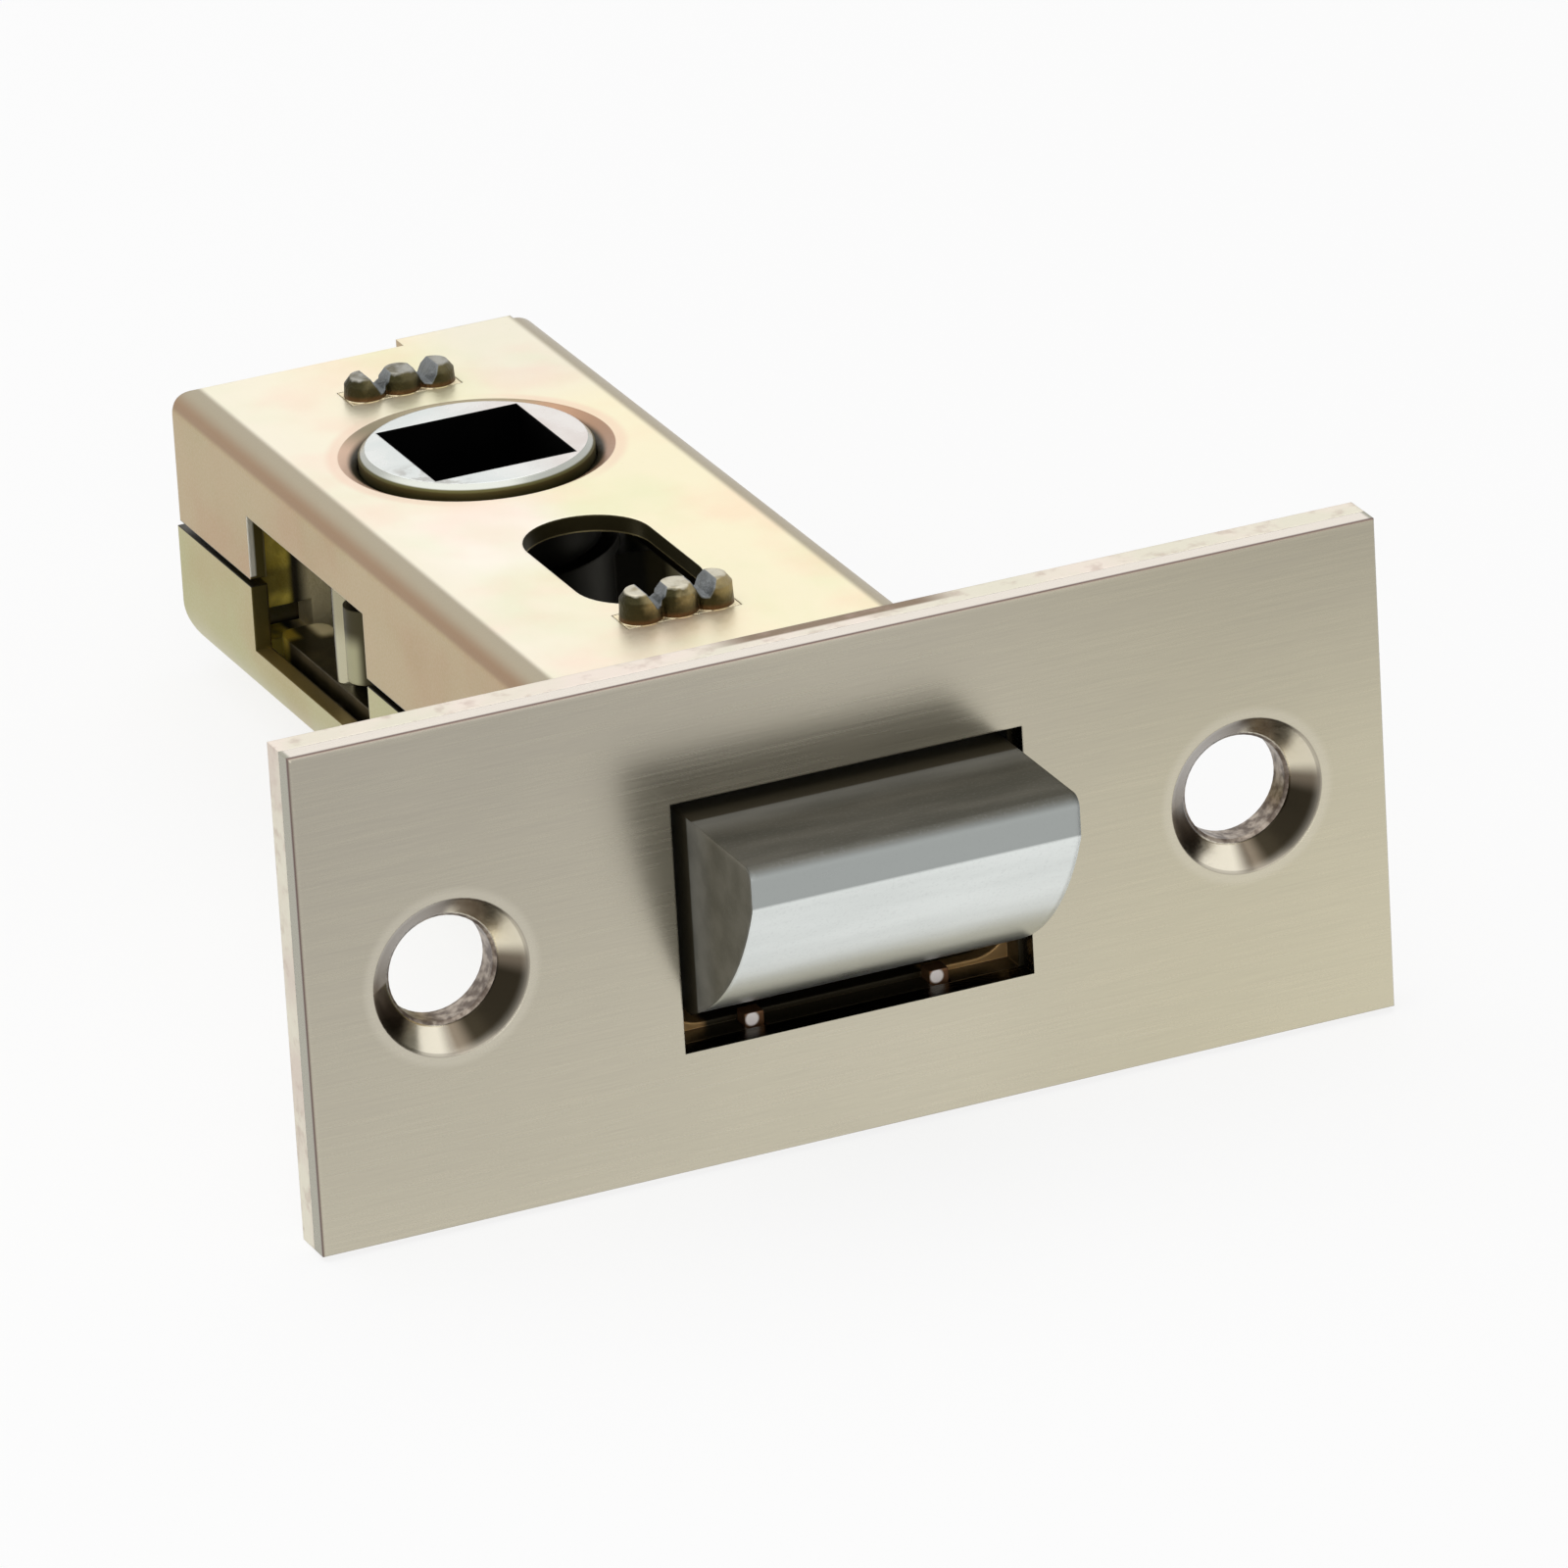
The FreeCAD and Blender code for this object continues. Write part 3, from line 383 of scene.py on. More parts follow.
def passivated_film(finish, level, face, side, blush, moss):
    """The yellow film: a face colour on flat faces and a darker side colour on the sides, partly
    the film's own tone and partly painted shade; two tints shift them in patches, with a fine
    grain.
    """
    patches = finish.noise(7, 3, seed=2)
    drift = finish.noise(5, 2, stretch=(1, 1.5, 1), seed=9)
    grain = finish.noise(0.14, 3, seed=4)
    # The sides' darker colour is partly painted shade
    colour = finish.blend(level.rise(0.5, 0.95), side, face)
    colour = finish.blend(patches.rise(0.44, 0.70) * 0.75, colour, blush, "MULTIPLY")
    colour = finish.blend(drift.rise(0.45, 0.75) * 0.7, colour, moss, "MULTIPLY")
    colour = finish.blend(grain.rise(0.35, 0.7) * 0.08, colour, (0.98, 0.95, 0.88))
    roughness = 0.36 + (grain - 0.5) * 0.2 + (patches - 0.5) * 0.2
    return colour, roughness, grain


def worn_edges(finish, colour):
    """Rounds the sheet's edges off and rubs them a little grey."""
    normal = finish.soft_edges(0.15)
    worn = finish.edge_mask(normal).rise(0.04, 0.3) * 0.4
    return finish.blend(worn, colour, (0.62, 0.60, 0.54)), normal


def open_edges(finish, colour, inner):
    """Darkens the sheet's cut edges, with painted shade on the walls of the top sheet's slots and
    on the split, gives the inner faces the inner colour, and makes a window's cut edge bright
    outside and dark gilt further in.
    """
    x, y, z = finish.at()
    across, up = finish.facing("XZ")
    level = abs(up)
    middle = y.fall(LID_HIGH.y - 4, LID_HIGH.y - 3)
    inner_half, inner_top = LID_HIGH.x - SHEET, LID_HIGH.z - SHEET
    cut_above = level.fall(0.3, 0.6) * abs(z).rise(inner_top - 0.05, inner_top)
    cut_above = cut_above * abs(x).fall(inner_half - 0.7, inner_half - 0.5) * middle
    for tab_front, tab_rear in TAB_STRETCHES:
        cut_above = cut_above * (1 - y.band(tab_front - 0.25, tab_rear + 0.25, 0.05))
    gilt = (0.12, 0.095, 0.025)
    cut_beside = abs(across).fall(0.3, 0.6) * abs(x).rise(inner_half - 0.05, inner_half)
    cut_beside = cut_beside * abs(z).fall(WINDOW_HALF_HEIGHT, WINDOW_HALF_HEIGHT + 0.1) * middle
    burr = abs(x).rise(LID_HIGH.x - 0.4, LID_HIGH.x - 0.25)
    burr = burr * z.rise(SPLIT_HALF + 0.1, SPLIT_HALF + 0.2)
    sill = level.rise(0.6, 0.8) * abs(x).rise(inner_half - 0.02, inner_half)
    sill = sill * abs(z).fall(WINDOW_HALF_HEIGHT + 0.02, WINDOW_HALF_HEIGHT + 0.05) * middle
    split = abs(z).fall(SPLIT_HALF + 0.01, SPLIT_HALF + 0.05)
    inside = (abs(x).fall(inner_half + 0.05, inner_half + 0.1)
              * abs(z).fall(inner_top + 0.05, inner_top + 0.1)
              * y.fall(LID_HIGH.y - SHEET - 0.9, LID_HIGH.y - SHEET - 0.6))
    # Painted shade on the cut walls of the top sheet's slots
    colour = finish.blend(cut_above, colour, (0.06, 0.05, 0.02))
    colour = finish.blend(cut_beside, colour, finish.blend(burr, gilt, BRIGHT_CUT))
    colour = finish.blend(sill, colour, (0.23, 0.165, 0.05))
    # Painted shade on the cut faces along the split
    colour = finish.blend(split, colour, INSIDE_SHADE)
    return finish.blend(inside, colour, inner)


def hub_ring(finish, colour):
    """The rolled rim: pinkish where the film was stretched, a brown funnel that is darker towards
    the right and rear, and painted shade deep down by the hub.
    """
    x, y, z = finish.at()
    far = distance(x, y - HUB_MIDDLE)
    blush = far.band(HUB_RIM_RADIUS, HUB_RIM_RADIUS + 0.3, 0.5) * 0.45
    colour = finish.blend(blush * abs(x).rise(2, 6), colour, (0.88, 0.58, 0.44))
    brown = finish.blend(x.rise(-6, 5), (0.68, 0.47, 0.34), (0.40, 0.24, 0.15))
    brown = finish.blend(y.rise(HUB_MIDDLE + 3.5, HUB_MIDDLE + 6), brown, (0.27, 0.23, 0.15))
    # Painted shade: near black deep in the funnel, next to the hub
    rolled = finish.blend(far.rise(HUB_RADIUS + 0.3, HUB_RIM_RADIUS - 0.4),
                          (0.030, 0.024, 0.010), brown)
    outer = abs(z).rise(LID_HIGH.z - SHEET, LID_HIGH.z - SHEET + 0.1)
    return finish.blend(far.fall(HUB_RIM_RADIUS - 0.05, HUB_RIM_RADIUS) * outer, colour, rolled)


def upper_shell_zinc():
    """The lid: yellow film, with a painted highlight before the hub and a painted dark reflection
    along the folds at its sides.
    """
    finish = Finish("upper_shell_zinc", {"Metallic": 0.75})
    x, y = finish.at("XY")
    [up] = finish.facing("Z")
    level = abs(up)
    top = finish.blend(x.rise(-9, 4), (0.93, 0.86, 0.69), (0.94, 0.86, 0.60))
    behind_hub = x.rise(1, 6) * y.rise(HUB_MIDDLE + 2, HUB_MIDDLE + 9)
    glare_before_hub = x.band(-6, -1.5, 3) * y.band(HUB_MIDDLE - 14, HUB_MIDDLE - 9, 4)
    top = finish.blend(behind_hub, top, (0.88, 0.82, 0.655))
    # A painted highlight: a paler patch on the top before the hub
    top = finish.blend(glare_before_hub, top, (0.98, 0.905, 0.78))
    colour, roughness, grain = passivated_film(
        finish, level, top, (0.47, 0.355, 0.19), (1.0, 0.87, 0.88), (0.90, 0.97, 0.88))
    # A painted dark reflection: the folds at the sides darker and browner
    fold_start = LID_HIGH.x - LID_BEND
    folded = level.rise(0.08, 0.35) * abs(x).rise(fold_start - 0.3, fold_start + 0.1)
    fold_reflection = finish.blend(level.rise(0.5, 0.95), (0.34, 0.22, 0.13), (0.37, 0.315, 0.22))
    colour = finish.blend(folded * 0.95, colour, fold_reflection)
    colour, normal = worn_edges(finish, colour)
    colour = open_edges(finish, hub_ring(finish, colour), (0.42, 0.35, 0.17))
    return finish.set(colour, roughness, finish.relief(grain, 0.006, normal))


def lower_shell_zinc():
    """The tray: greener film; painted shade on its inner faces and on its floor in the plate's
    opening, and a painted glint on each lug.
    """
    finish = Finish("lower_shell_zinc", {"Metallic": 0.75})
    x, y, z = finish.at()
    front, up = finish.facing("YZ")
    colour, roughness, grain = passivated_film(
        finish, abs(up), (0.84, 0.77, 0.50), (0.46, 0.42, 0.205), (1.0, 0.88, 0.86),
        (0.90, 0.99, 0.86))
    colour, normal = worn_edges(finish, colour)
    # The tray's inner faces get painted shade
    colour = open_edges(finish, hub_ring(finish, colour), (0.075, 0.055, 0.02))
    # The floor seen in the plate's opening: painted shade, with brown patches along a strip on the
    # right and at the left corner
    near_plate = y.fall(TRAY_FLOOR_SEEN, TRAY_FLOOR_SEEN + 1)
    near_plate = near_plate * abs(x).fall(LID_HIGH.x - SHEET, LID_HIGH.x - SHEET + 0.1)
    right_strip = x.rise(4.3, 4.7) * y.band(2.4, 3.3, 0.3)
    left_corner = x.fall(-7.4, -6.9)
    floor = finish.blend((right_strip + left_corner).held(), INSIDE_SHADE, (0.55, 0.34, 0.14))
    on_floor = near_plate * z.rise(TRAY_FLOOR - 0.05, TRAY_FLOOR + 0.05)
    colour = finish.blend(on_floor, colour, floor)
    lug = y.fall(BACKING_HIGH.y - 0.1, BACKING_HIGH.y - 0.05)
    # A painted glint: a white, non-metallic spot on each lug's front
    from_shine = distance(abs(x + LUG_SHINE_SHIFT) - LUG_PLACE, z - LUG_SHINE_HEIGHT)
    lug_glint = (-front).rise(0.6, 0.9) * from_shine.fall(0.28, 0.42)
    colour = finish.blend(lug, colour,
                          finish.blend(lug_glint, (0.22, 0.11, 0.05), (1.0, 0.93, 0.88)))
    metallic = 0.75 * (1 - lug * lug_glint)
    return finish.set(colour, roughness, finish.relief(grain, 0.006, normal), metallic)


def punched_steel(name, tip_height, middle, body, crest_tone):
    """A cross plate: olive lobes in painted light and shade, grey notches where the metal is bare,
    gilt wings with a painted dark band, and a middle in painted shade or a painted sheen.
    """
    finish = Finish(name, {})
    x, z = finish.at("XZ")
    [across] = finish.facing("X")
    lumps = finish.noise(0.9, 3, seed=1)
    grain = finish.noise(0.12, 3, seed=7)
    # Painted light and shade: each lobe lighter on its flank facing +X and dark on the other
    sunny = (across * 0.6 + lumps).rise(0.2, 0.75)
    lobes = finish.blend(sunny, (0.030, 0.026, 0.009), body)
    height = abs(z) - LID_HIGH.z
    # Painted shade: the lobes darker low down and brown at their foot, where they meet the lid
    lobes = finish.blend(height.fall(0.35, 0.95) * 0.75, lobes, (0.035, 0.028, 0.010))
    lobes = finish.blend(height.fall(0.12, 0.35) * 0.8, lobes, (0.10, 0.048, 0.018))
    from_tip = tip_height - abs(z)
    crest = (from_tip + (lumps - 0.5) * 0.5).fall(-0.02, 0.14)
    lobes = finish.blend(crest, lobes, crest_tone)
    notch_half = NOTCH_TOP_HALF - from_tip * ((NOTCH_TOP_HALF - NOTCH_FLOOR_HALF) / NOTCH_DEPTH)
    struck = (abs(abs(x) - NOTCH_PLACE) - notch_half).fall(0.02, 0.08)
    lobes = finish.blend(struck * from_tip.fall(NOTCH_DEPTH + 0.02, NOTCH_DEPTH + 0.1),
                         lobes, finish.blend(lumps, (0.09, 0.095, 0.095), (0.25, 0.265, 0.27)))
    strip = finish.noise(1.8, 2, seed=5)
    plate = finish.blend(strip.rise(0.35, 0.6), (0.55, 0.42, 0.05), (1.0, 0.80, 0.14))
    # A painted band of shade across the gilt wings
    shade_band = z.band(-1.6, -0.8, 0.6)
    plate = finish.blend(shade_band * 0.7, plate, (0.16, 0.12, 0.02))
    # Painted shade beside the wings, then the given middle: painted shade on the front plate, a
    # painted sheen on the rear one
    plate = finish.blend(abs(x).fall(WING_START, WING_START + 0.4), plate, INSIDE_SHADE)
    plate = finish.blend(abs(x).fall(WING_START - 1.0, WING_START - 0.1), plate, middle)
    above = abs(z).rise(LID_HIGH.z - SHEET, LID_HIGH.z - SHEET + 0.1)
    colour = finish.blend(above, plate, lobes)
    in_slot = abs(z).fall(LID_HIGH.z + 0.01, LID_HIGH.z + 0.04)
    colour = finish.blend(above * in_slot, colour, (0.85, 0.75, 0.52))
    normal = finish.soft_edges(0.15)
    roughness = 0.42 + (grain - 0.5) * 0.3
    relief = finish.relief(lumps + grain * 0.3, 0.12, normal)
    return finish.set(colour, roughness, relief, 0.1 + above * 0.8)


def cast_bolt():
    """The bolt: smooth zinc casting, with painted reflections by which way each face looks: dark
    on the flat top, grey on the nose and ends, bright on the bevel; painted shade inside the
    plate's opening.
    """
    finish = Finish("bolt_casting", {})
    [y] = finish.at("Y")
    across, up = finish.facing("XZ")
    flow = finish.noise(1.6, 4, stretch=(5, 1, 1), seed=3)
    grain = finish.noise(0.16, 3, seed=2)
    # Painted reflections: the colours below go by which way the surface faces
    bevel = finish.blend(flow.rise(0.3, 0.75), (0.71, 0.74, 0.72), (0.79, 0.82, 0.80))
    nose = (0.36, 0.38, 0.37)
    bevel = finish.blend((-up).rise(0.55, 0.8) * 0.3, bevel, nose)
    top = finish.blend(flow.rise(0.35, 0.7), (0.088, 0.086, 0.073), (0.13, 0.124, 0.106))
    end = finish.blend(flow.rise(0.3, 0.7), (0.15, 0.148, 0.128), (0.215, 0.21, 0.185))
    colour = finish.blend((-up).rise(0.0, 0.2), nose, bevel)
    colour = finish.blend(up.rise(0.1, 0.95), colour, top)
    colour = finish.blend(abs(across).rise(0.5, 0.9), colour, end)
    normal = finish.soft_edges(0.45)
    colour = finish.blend(grain.rise(0.5, 0.75) * 0.12, colour, (0.30, 0.31, 0.31))
    dull_side = abs(across).most(up).rise(0.5, 0.9)
    near_plate = y.rise(-3.2, -0.9) * dull_side
    # Near the plate the bolt is less metallic and duller, and inside the opening it gets painted
    # shade
    matt_and_shade = finish.blend(flow.rise(0.3, 0.7), (0.12, 0.117, 0.102), (0.17, 0.166, 0.145))
    matt_and_shade = finish.blend((y + up * 0.6).rise(-0.4, -0.2), matt_and_shade, INSIDE_SHADE)
    colour = finish.blend(near_plate, colour, matt_and_shade)
    roughness = 0.30 + (flow - 0.5) * 0.15 + dull_side * 0.2
    relief = finish.relief(grain + flow, 0.004, normal)
    return finish.set(colour, roughness, relief, 1 - near_plate * 0.9)


def bright_nickel():
    """The follower: bright hub faces; its chamfer, drum, arms and square hole are in painted
    shade, with painted light low on the arms' fronts.
    """
    finish = Finish("follower_nickel", {"Metallic": 1.0})
    x, y, z = finish.at()
    across, up = finish.facing("XZ")
    aside = y - HUB_MIDDLE
    ring = distance(x, aside)
    turning = (ring * 26).math("SINE", ring * 26)
    smear = finish.noise(1.8, 3, seed=5)
    colour = finish.blend(x.rise(-1, 4), (0.72, 0.755, 0.735), (0.74, 0.675, 0.635))
    colour = finish.blend(smear.rise(0.35, 0.7) * 0.5, colour, (0.86, 0.85, 0.82))
    worn = finish.noise(0.9, 3, seed=8).rise(0.44, 0.62) * x.fall(-3.2, -1.6)
    colour = finish.blend(worn * aside.fall(-2.2, -0.6) * 0.6, colour, (0.34, 0.32, 0.28))
    # Painted shade: the chamfer round each face darker
    colour = finish.blend(abs(up).fall(0.75, 0.85), colour, (0.44, 0.45, 0.41))
    within = abs(z).fall(LID_HIGH.z + 0.12, LID_HIGH.z + 0.2)
    # Inside the case: the arms' fronts get painted light low down and painted shade above; the
    # neck and drum get painted shade
    lit_arm_front = z.fall(-0.3, 0.9) * abs(across).rise(0.55, 0.9)
    arm = finish.blend(lit_arm_front, (0.065, 0.056, 0.030), (0.40, 0.38, 0.24))
    neck = finish.blend(abs(z).rise(LID_HIGH.z - 0.8, LID_HIGH.z - 0.4),
                        (0.030, 0.028, 0.022), (0.10, 0.09, 0.035))
    body = finish.blend(abs(x).rise(HUB_RADIUS + 0.6, HUB_RADIUS + 1.2), neck, arm)
    colour = finish.blend(within, colour, body)
    # Painted shade: the square hole near black
    in_square = abs(x).most(abs(aside)).fall(SPINDLE_HALF + 0.01, SPINDLE_HALF + 0.04)
    colour = finish.blend(in_square, colour, (0.004, 0.004, 0.004))
    normal = finish.soft_edges(0.15)
    roughness = 0.26 + (smear - 0.5) * 0.2 + in_square.most(within) * 0.25
    return finish.set(colour, roughness, finish.relief(turning, 0.0006, normal))


def golden_zinc():
    """The draw plates: a dark strip in painted shade, its rear end gilt outside with a painted
    pale sheen inside.
    """
    finish = Finish("golden_zinc", {})
    x, y = finish.at("XY")
    patches = finish.noise(2.5, 3, seed=4)
    grain = finish.noise(0.13, 3, seed=6)
    # Painted shade: the strip near black inside the case
    shaded_strip = finish.blend(patches.rise(0.35, 0.65), (0.035, 0.027, 0.011), (0.075, 0.058, 0.025))
    rear_corner = y.rise(DRAW_PLATE_REAR - 1.8, DRAW_PLATE_REAR - 1.0) * abs(x).rise(8.0, 8.4)
    # A painted pale sheen on the inner part of the rear end
    sheen_patch = y.rise(DRAW_PLATE_REAR - 2.3, DRAW_PLATE_REAR - 1.3) * abs(x).fall(7.0, 7.6)
    colour = finish.blend(rear_corner, shaded_strip, (0.75, 0.58, 0.10))
    colour = finish.blend(sheen_patch, colour, PALE_SHEEN)
    roughness = 0.32 + (grain - 0.5) * 0.2
    relief = finish.relief(grain, 0.005, finish.soft_edges(0.12))
    return finish.set(colour, roughness, relief, 0.9 - sheen_patch * 0.8)


def drive_pin_steel():
    """The pins: a painted pale streak of light along the side that looks out of the window,
    lighter lower down, and painted shade round it.
    """
    finish = Finish("pin_steel", {"Metallic": 1.0})
    [z] = finish.at("Z")
    across, front = finish.facing("XY")
    # Painted light on the side facing out of the window, painted shade elsewhere
    outward = abs(across) * 0.6 - front * 0.8
    rings = finish.noise(0.1, 2, stretch=(8, 8, 1), seed=2)
    lit_streak = finish.blend(z.fall(-1.0, 0.8), (0.36, 0.33, 0.22), (0.50, 0.47, 0.33))
    colour = finish.blend(outward.rise(0.5, 0.8), (0.06, 0.05, 0.03), lit_streak)
    roughness = 0.22 + (rings - 0.5) * 0.2
    return finish.set(colour, roughness, finish.relief(rings, 0.004, finish.soft_edges(0.1)))


def rivet_zinc():
    """The tail rivets, with fine rings round them."""
    finish = Finish("rivet_zinc", {"Metallic": 1.0})
    rings = finish.noise(0.1, 2, stretch=(8, 8, 1), seed=2)
    colour = finish.blend(rings.rise(0.3, 0.7), (0.45, 0.45, 0.44), (0.66, 0.66, 0.65))
    roughness = 0.22 + (rings - 0.5) * 0.2
    return finish.set(colour, roughness, finish.relief(rings, 0.004, finish.soft_edges(0.1)))


def spring_wire():
    """Drawn wire, darker than the pins."""
    finish = Finish("spring_wire", {"Metallic": 1.0})
    drawn = finish.noise(0.2, 3, seed=3)
    colour = finish.blend(drawn.rise(0.3, 0.7), (0.26, 0.26, 0.27), (0.42, 0.42, 0.43))
    roughness = 0.28 + (drawn - 0.5) * 0.2
    return finish.set(colour, roughness, finish.relief(drawn, 0.003, finish.soft_edges(0.05)))


def dress_nodes():
    golden = golden_zinc()
    pin = drive_pin_steel()
    finishes = {
        "faceplate": satin_nickel(), "backing_plate": plated_edge(),
        "upper_case_shell": upper_shell_zinc(), "lower_case_shell": lower_shell_zinc(),
        # The front tab's middle gets painted shade, the rear tab's a painted sheen
        "front_bridge_plate": punched_steel("front_tab_steel", FRONT_TAB_HIGH.z, INSIDE_SHADE,
                                            (0.30, 0.24, 0.12), (0.58, 0.54, 0.43)),
        "rear_bridge_plate": punched_steel("rear_tab_steel", REAR_TAB_HIGH.z, PALE_SHEEN,
                                           (0.11, 0.093, 0.045), (0.36, 0.35, 0.31)),
        "latch_bolt": cast_bolt(), "follower": bright_nickel(),
        "upper_draw_plate": golden, "lower_draw_plate": golden,
        "left_drive_pin": pin, "right_drive_pin": pin, "tail_rivets": rivet_zinc(),
    }
    for node, material in finishes.items():
        for slot in frame["nodes"][node].material_slots:
            slot.material = material


# Bolt springs

SPRING_OPEN_TURNS = 7.0
SPRING_WIRE = 0.6
SPRING_CLOSED_RISE = 0.63
SPRING_STEPS = 40
SPRING_SECTION = 14


def coil_tree():
    """Geometry nodes for a wire coil along Y with one closed turn at each end."""
    tree = bpy.data.node_groups.new("bolt_spring_coil", "GeometryNodeTree")
    maker = NodeMaker(tree)
    for name in ("Length", "Open Turns", "Coil Radius", "Wire Radius", "Closed Rise"):
        tree.interface.new_socket(name, in_out="INPUT", socket_type="NodeSocketFloat")
    tree.interface.new_socket("Middle", in_out="INPUT", socket_type="NodeSocketVector")
    tree.interface.new_socket("Wire", in_out="INPUT", socket_type="NodeSocketMaterial")
    tree.interface.new_socket("Mesh", in_out="OUTPUT", socket_type="NodeSocketGeometry")
    given = maker.add("NodeGroupInput", output="Length")
    open_turns, wire = given.other("Open Turns"), given.other("Wire Radius")
    turns = open_turns + 2
    spiral = maker.add("GeometryNodeCurveSpiral", {}, {
        "Resolution": SPRING_STEPS, "Rotations": turns, "Start Radius": given.other("Coil Radius"),
        "End Radius": given.other("Coil Radius"), "Height": 1.0})
    along = maker.add("GeometryNodeSplineParameter", output="Factor") * turns
    closed = given.other("Closed Rise")
    run = given - wire * 2
    pitch = (run - closed * 2) / open_turns
    rise = (closed * along.least(1.0) + pitch * (along - 1).most(0.0).least(open_turns)
            + closed * (along - 1 - open_turns).most(0.0))
    spot = maker.add("GeometryNodeInputPosition")
    x = maker.add("ShaderNodeSeparateXYZ", inputs={0: spot}, output="X")
    laid = maker.add("ShaderNodeCombineXYZ", inputs={"X": x, "Y": rise + wire, "Z": x.other("Y")})
    moved = maker.add("ShaderNodeVectorMath", {"operation": "ADD"},
                      {0: laid, 1: given.other("Middle")})
    path = maker.add("GeometryNodeSetPosition", {}, {"Geometry": spiral, "Position": moved})
    section = maker.add("GeometryNodeCurvePrimitiveCircle", {}, {
        "Resolution": SPRING_SECTION, "Radius": wire})
    swept = maker.add("GeometryNodeCurveToMesh", {}, {
        "Curve": path, "Profile Curve": section, "Fill Caps": True})
    smooth = maker.add("GeometryNodeSetShadeSmooth", {}, {"Geometry": swept})
    real = maker.add("GeometryNodeRealizeInstances", {}, {"Geometry": smooth})
    done = maker.add("GeometryNodeSetMaterial", {}, {
        "Geometry": real, "Material": given.other("Wire")})
    out = tree.nodes.new("NodeGroupOutput")
    maker.feed(out.inputs["Mesh"], done)
    return tree


def grown_piece(name, tree, values):
    """The plain mesh that a geometry tree gives for these named inputs."""
    seed = bpy.data.objects.new(name + "_seed", bpy.data.meshes.new(name + "_seed"))
    bpy.context.scene.collection.objects.link(seed)
    modifier = seed.modifiers.new("grown", "NODES")
    modifier.node_group = tree
    for item in tree.interface.items_tree:
        if item.name in values:
            modifier[item.identifier] = values[item.name]
    seed.update_tag()
    shape = seed.evaluated_get(bpy.context.evaluated_depsgraph_get())
    mesh = bpy.data.meshes.new_from_object(shape)
    bpy.data.objects.remove(seed)
    piece = bpy.data.objects.new(name, mesh)
    bpy.context.scene.collection.objects.link(piece)
    return piece


def wind_springs():
    tree = coil_tree()
    wire = spring_wire()
    slide = next(joint for joint in frame["joints"] if joint["name"] == "bolt_slide")
    drawn_back = slide["range_m"][1] / MM
    for side in ("left", "right"):
        node = f"{side}_bolt_spring"
        low, high = box_mm(node)
        middle = ((low.x + high.x) / 2 * MM, low.y * MM, (low.z + high.z) / 2 * MM)
        coil_radius = (high.z - low.z - SPRING_WIRE) / 2
        length = high.y - low.y
        spring = grown_piece(f"{side}_spring_coil", tree, {
            "Length": length * MM, "Open Turns": SPRING_OPEN_TURNS,
            "Coil Radius": coil_radius * MM, "Wire Radius": SPRING_WIRE / 2 * MM,
            "Closed Rise": SPRING_CLOSED_RISE * MM, "Middle": middle, "Wire": wire})
        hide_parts(node)
        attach(spring, "case")
        1 - drawn_back / length
        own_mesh(spring)


# Studio

FLOOR_GAP = 0.03
FLOOR_REACH = 2500
FLOOR_GLOW = 0.8
SURROUNDING_LIGHT = 0.5
LAMPS_AIM = (0, 25, 0)


def lay_floor():
    """A pale floor, just under the plates' lower edge and the staked tab at the rear."""
    front = Vector((0, BACKING_HIGH.y, BACKING_LOW.z - FLOOR_GAP))
    rear = Vector((0, (REAR_TAB_LOW.y + REAR_TAB_HIGH.y) / 2, REAR_TAB_LOW.z - FLOOR_GAP))
    tilt = math.atan2(rear.z - front.z, rear.y - front.y)
    reach = FLOOR_REACH * MM
    mesh = bpy.data.meshes.new("studio_floor")
    corners = [(-reach, -reach), (reach, -reach), (reach, reach), (-reach, reach)]
    lift = math.tan(tilt)
    base = (front.z - front.y * lift) * MM
    mesh.from_pydata([(x, y, base + y * lift) for x, y in corners], [], [(0, 1, 2, 3)])
    floor = bpy.data.objects.new("studio_floor", mesh)
    bpy.context.scene.collection.objects.link(floor)
    finish = Finish("studio_floor_pale", {"Roughness": 0.9, "Specular IOR Level": 0.1})
    tone = finish.noise(60, 2)
    finish.feed(finish.shader.inputs["Base Color"],
                finish.blend(tone, (0.90, 0.90, 0.90), (0.94, 0.94, 0.94)))
    seen = finish.add("ShaderNodeLightPath", output="Is Camera Ray")
    seen = seen.most(seen.other("Is Glossy Ray"))
    glow = finish.add("ShaderNodeEmission", {}, {"Color": (1, 1, 1, 1), "Strength": 1.0})
    plain = Value(finish, finish.shader.outputs["BSDF"])
    mixed = finish.add("ShaderNodeMixShader", {}, {0: seen * FLOOR_GLOW, 1: plain, 2: glow})
    out = finish.tree.nodes["Material Output"]
    finish.feed(out.inputs["Surface"], mixed)
    mesh.materials.append(finish.material)


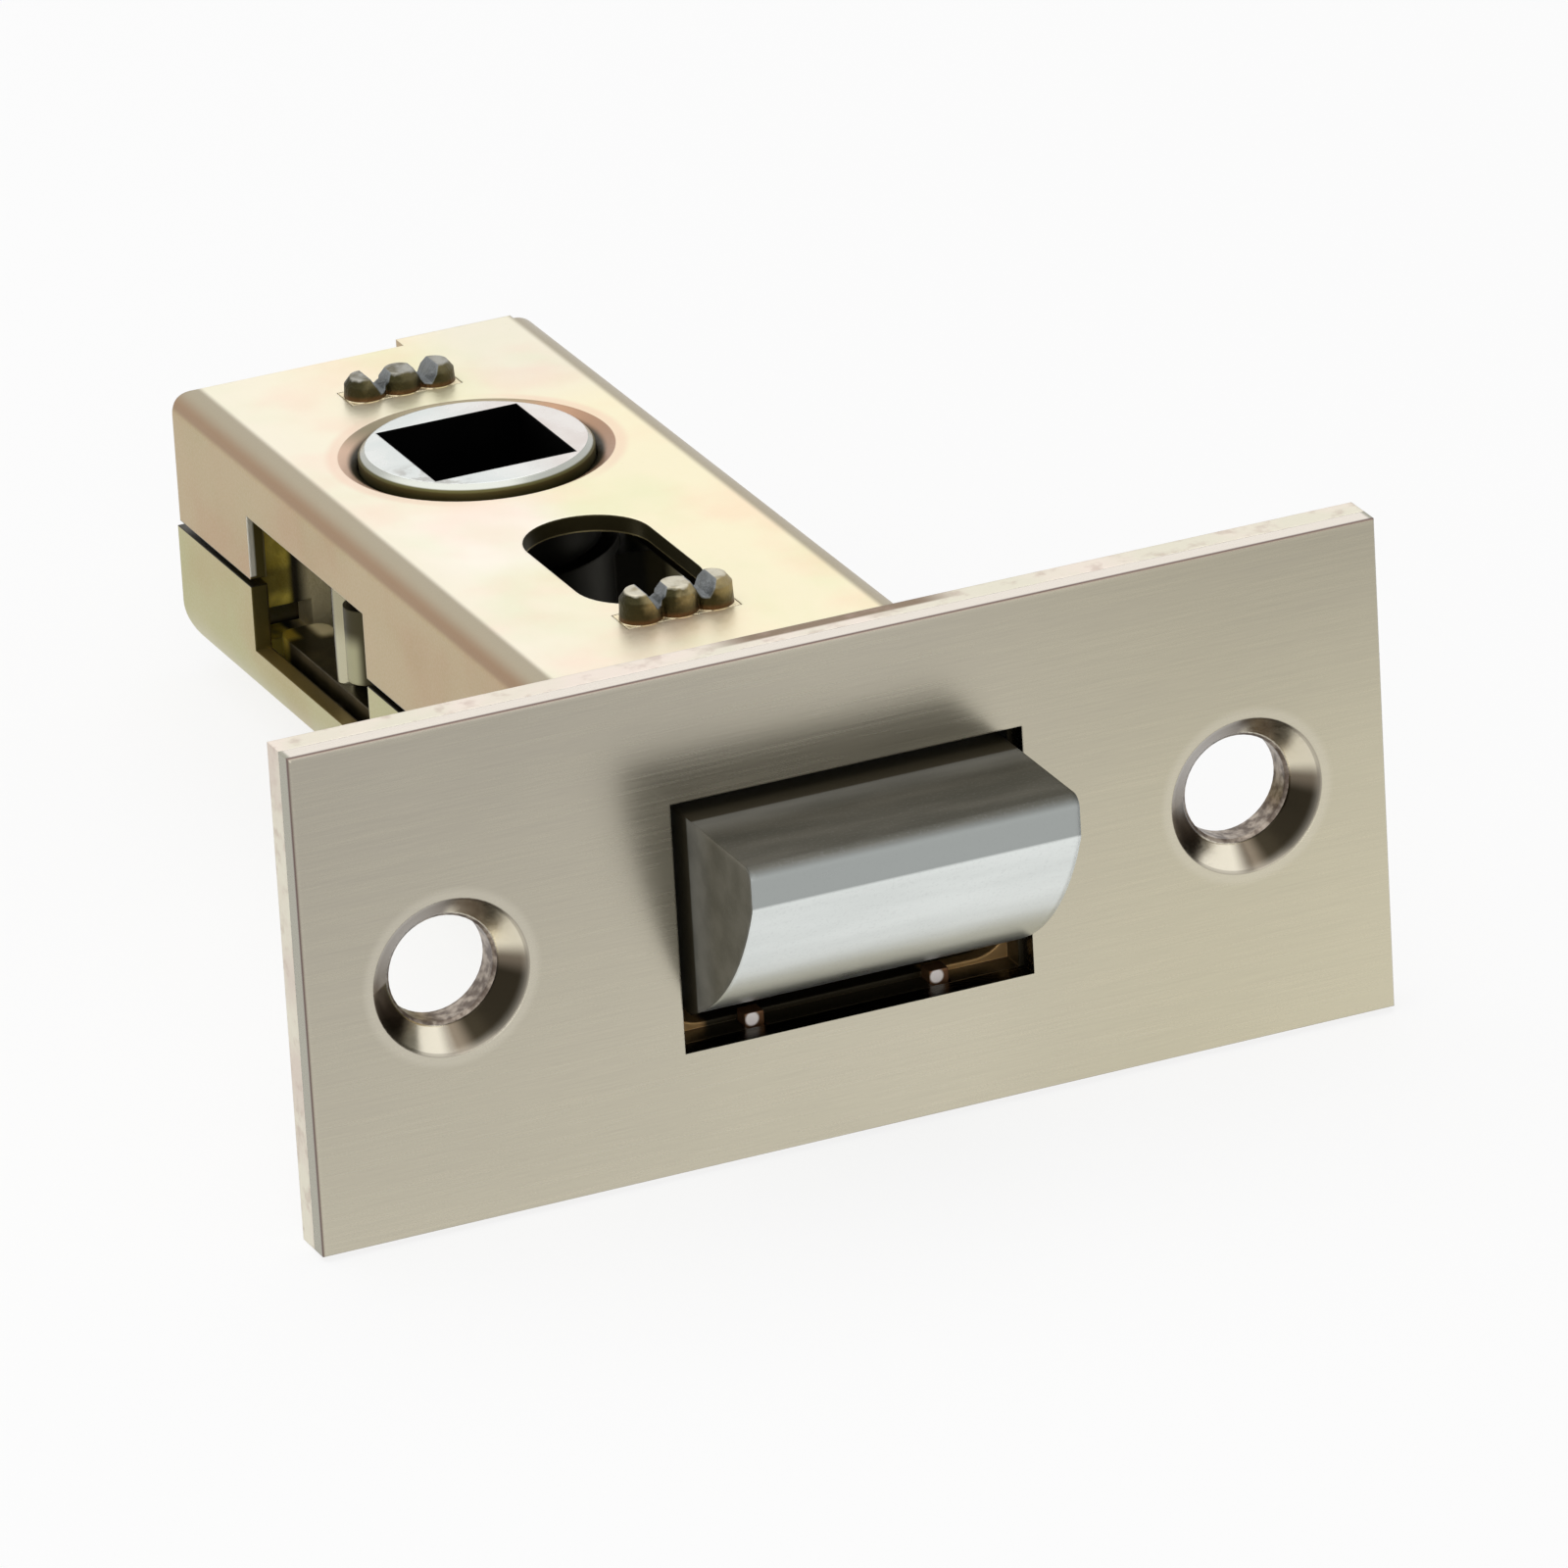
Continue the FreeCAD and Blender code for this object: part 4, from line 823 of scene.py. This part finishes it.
def light_world():
    world = bpy.data.worlds.new("studio")
    world.use_nodes = True
    bpy.context.scene.world = world
    maker = NodeMaker(world.node_tree)
    camera = maker.add("ShaderNodeLightPath", output="Is Camera Ray")
    seen = camera.most(camera.other("Is Glossy Ray")).most(camera.other("Is Transmission Ray"))
    strength = SURROUNDING_LIGHT + seen * (1 - SURROUNDING_LIGHT)
    background = world.node_tree.nodes["Background"]
    background.inputs["Color"].default_value = (1, 1, 1, 1)
    maker.feed(background.inputs["Strength"], strength)


def hang_lamp(name, place, size, power):
    """A square soft lamp, placed in millimetres."""
    lamp = bpy.data.lights.new(name, "AREA")
    lamp.size = size * MM
    lamp.energy = power
    holder = bpy.data.objects.new(name, lamp)
    bpy.context.scene.collection.objects.link(holder)
    toward = Vector(LAMPS_AIM) - Vector(place)
    holder.rotation_euler = toward.to_track_quat("-Z", "Y").to_euler()
    holder.location = Vector(place) * MM


def set_camera():
    azimuth = math.radians(CAMERA_AZIMUTH)
    elevation = math.radians(CAMERA_ELEVATION)
    back = Vector((math.sin(azimuth) * math.cos(elevation),
                   -math.cos(azimuth) * math.cos(elevation), math.sin(elevation)))
    right = Vector((math.cos(azimuth), math.sin(azimuth), 0))
    right = Matrix.Rotation(math.radians(CAMERA_ROLL), 3, back) @ right
    up = back.cross(right)
    data = bpy.data.cameras.new("camera")
    data.lens = CAMERA_LENS
    data.sensor_width = CAMERA_SENSOR
    data.clip_start = CAMERA_NEAREST * MM
    data.clip_end = CAMERA_FARTHEST * MM
    camera = bpy.data.objects.new("camera", data)
    bpy.context.scene.collection.objects.link(camera)
    place = (Vector(CAMERA_TARGET) + back * CAMERA_DISTANCE) * MM
    turn = Matrix((right, up, back)).transposed().to_4x4()
    camera.matrix_world = Matrix.Translation(place) @ turn
    bpy.context.scene.camera = camera


def main():
    dress_nodes()
    wind_springs()
    lay_floor()
    light_world()
    hang_lamp("overhead_lamp", (-120, 60, 620), size=1000, power=2.9)
    hang_lamp("front_lamp", (-260, -620, 180), size=380, power=0.9)
    set_camera()
    bpy.context.scene.view_settings.view_transform = "Standard"


main()
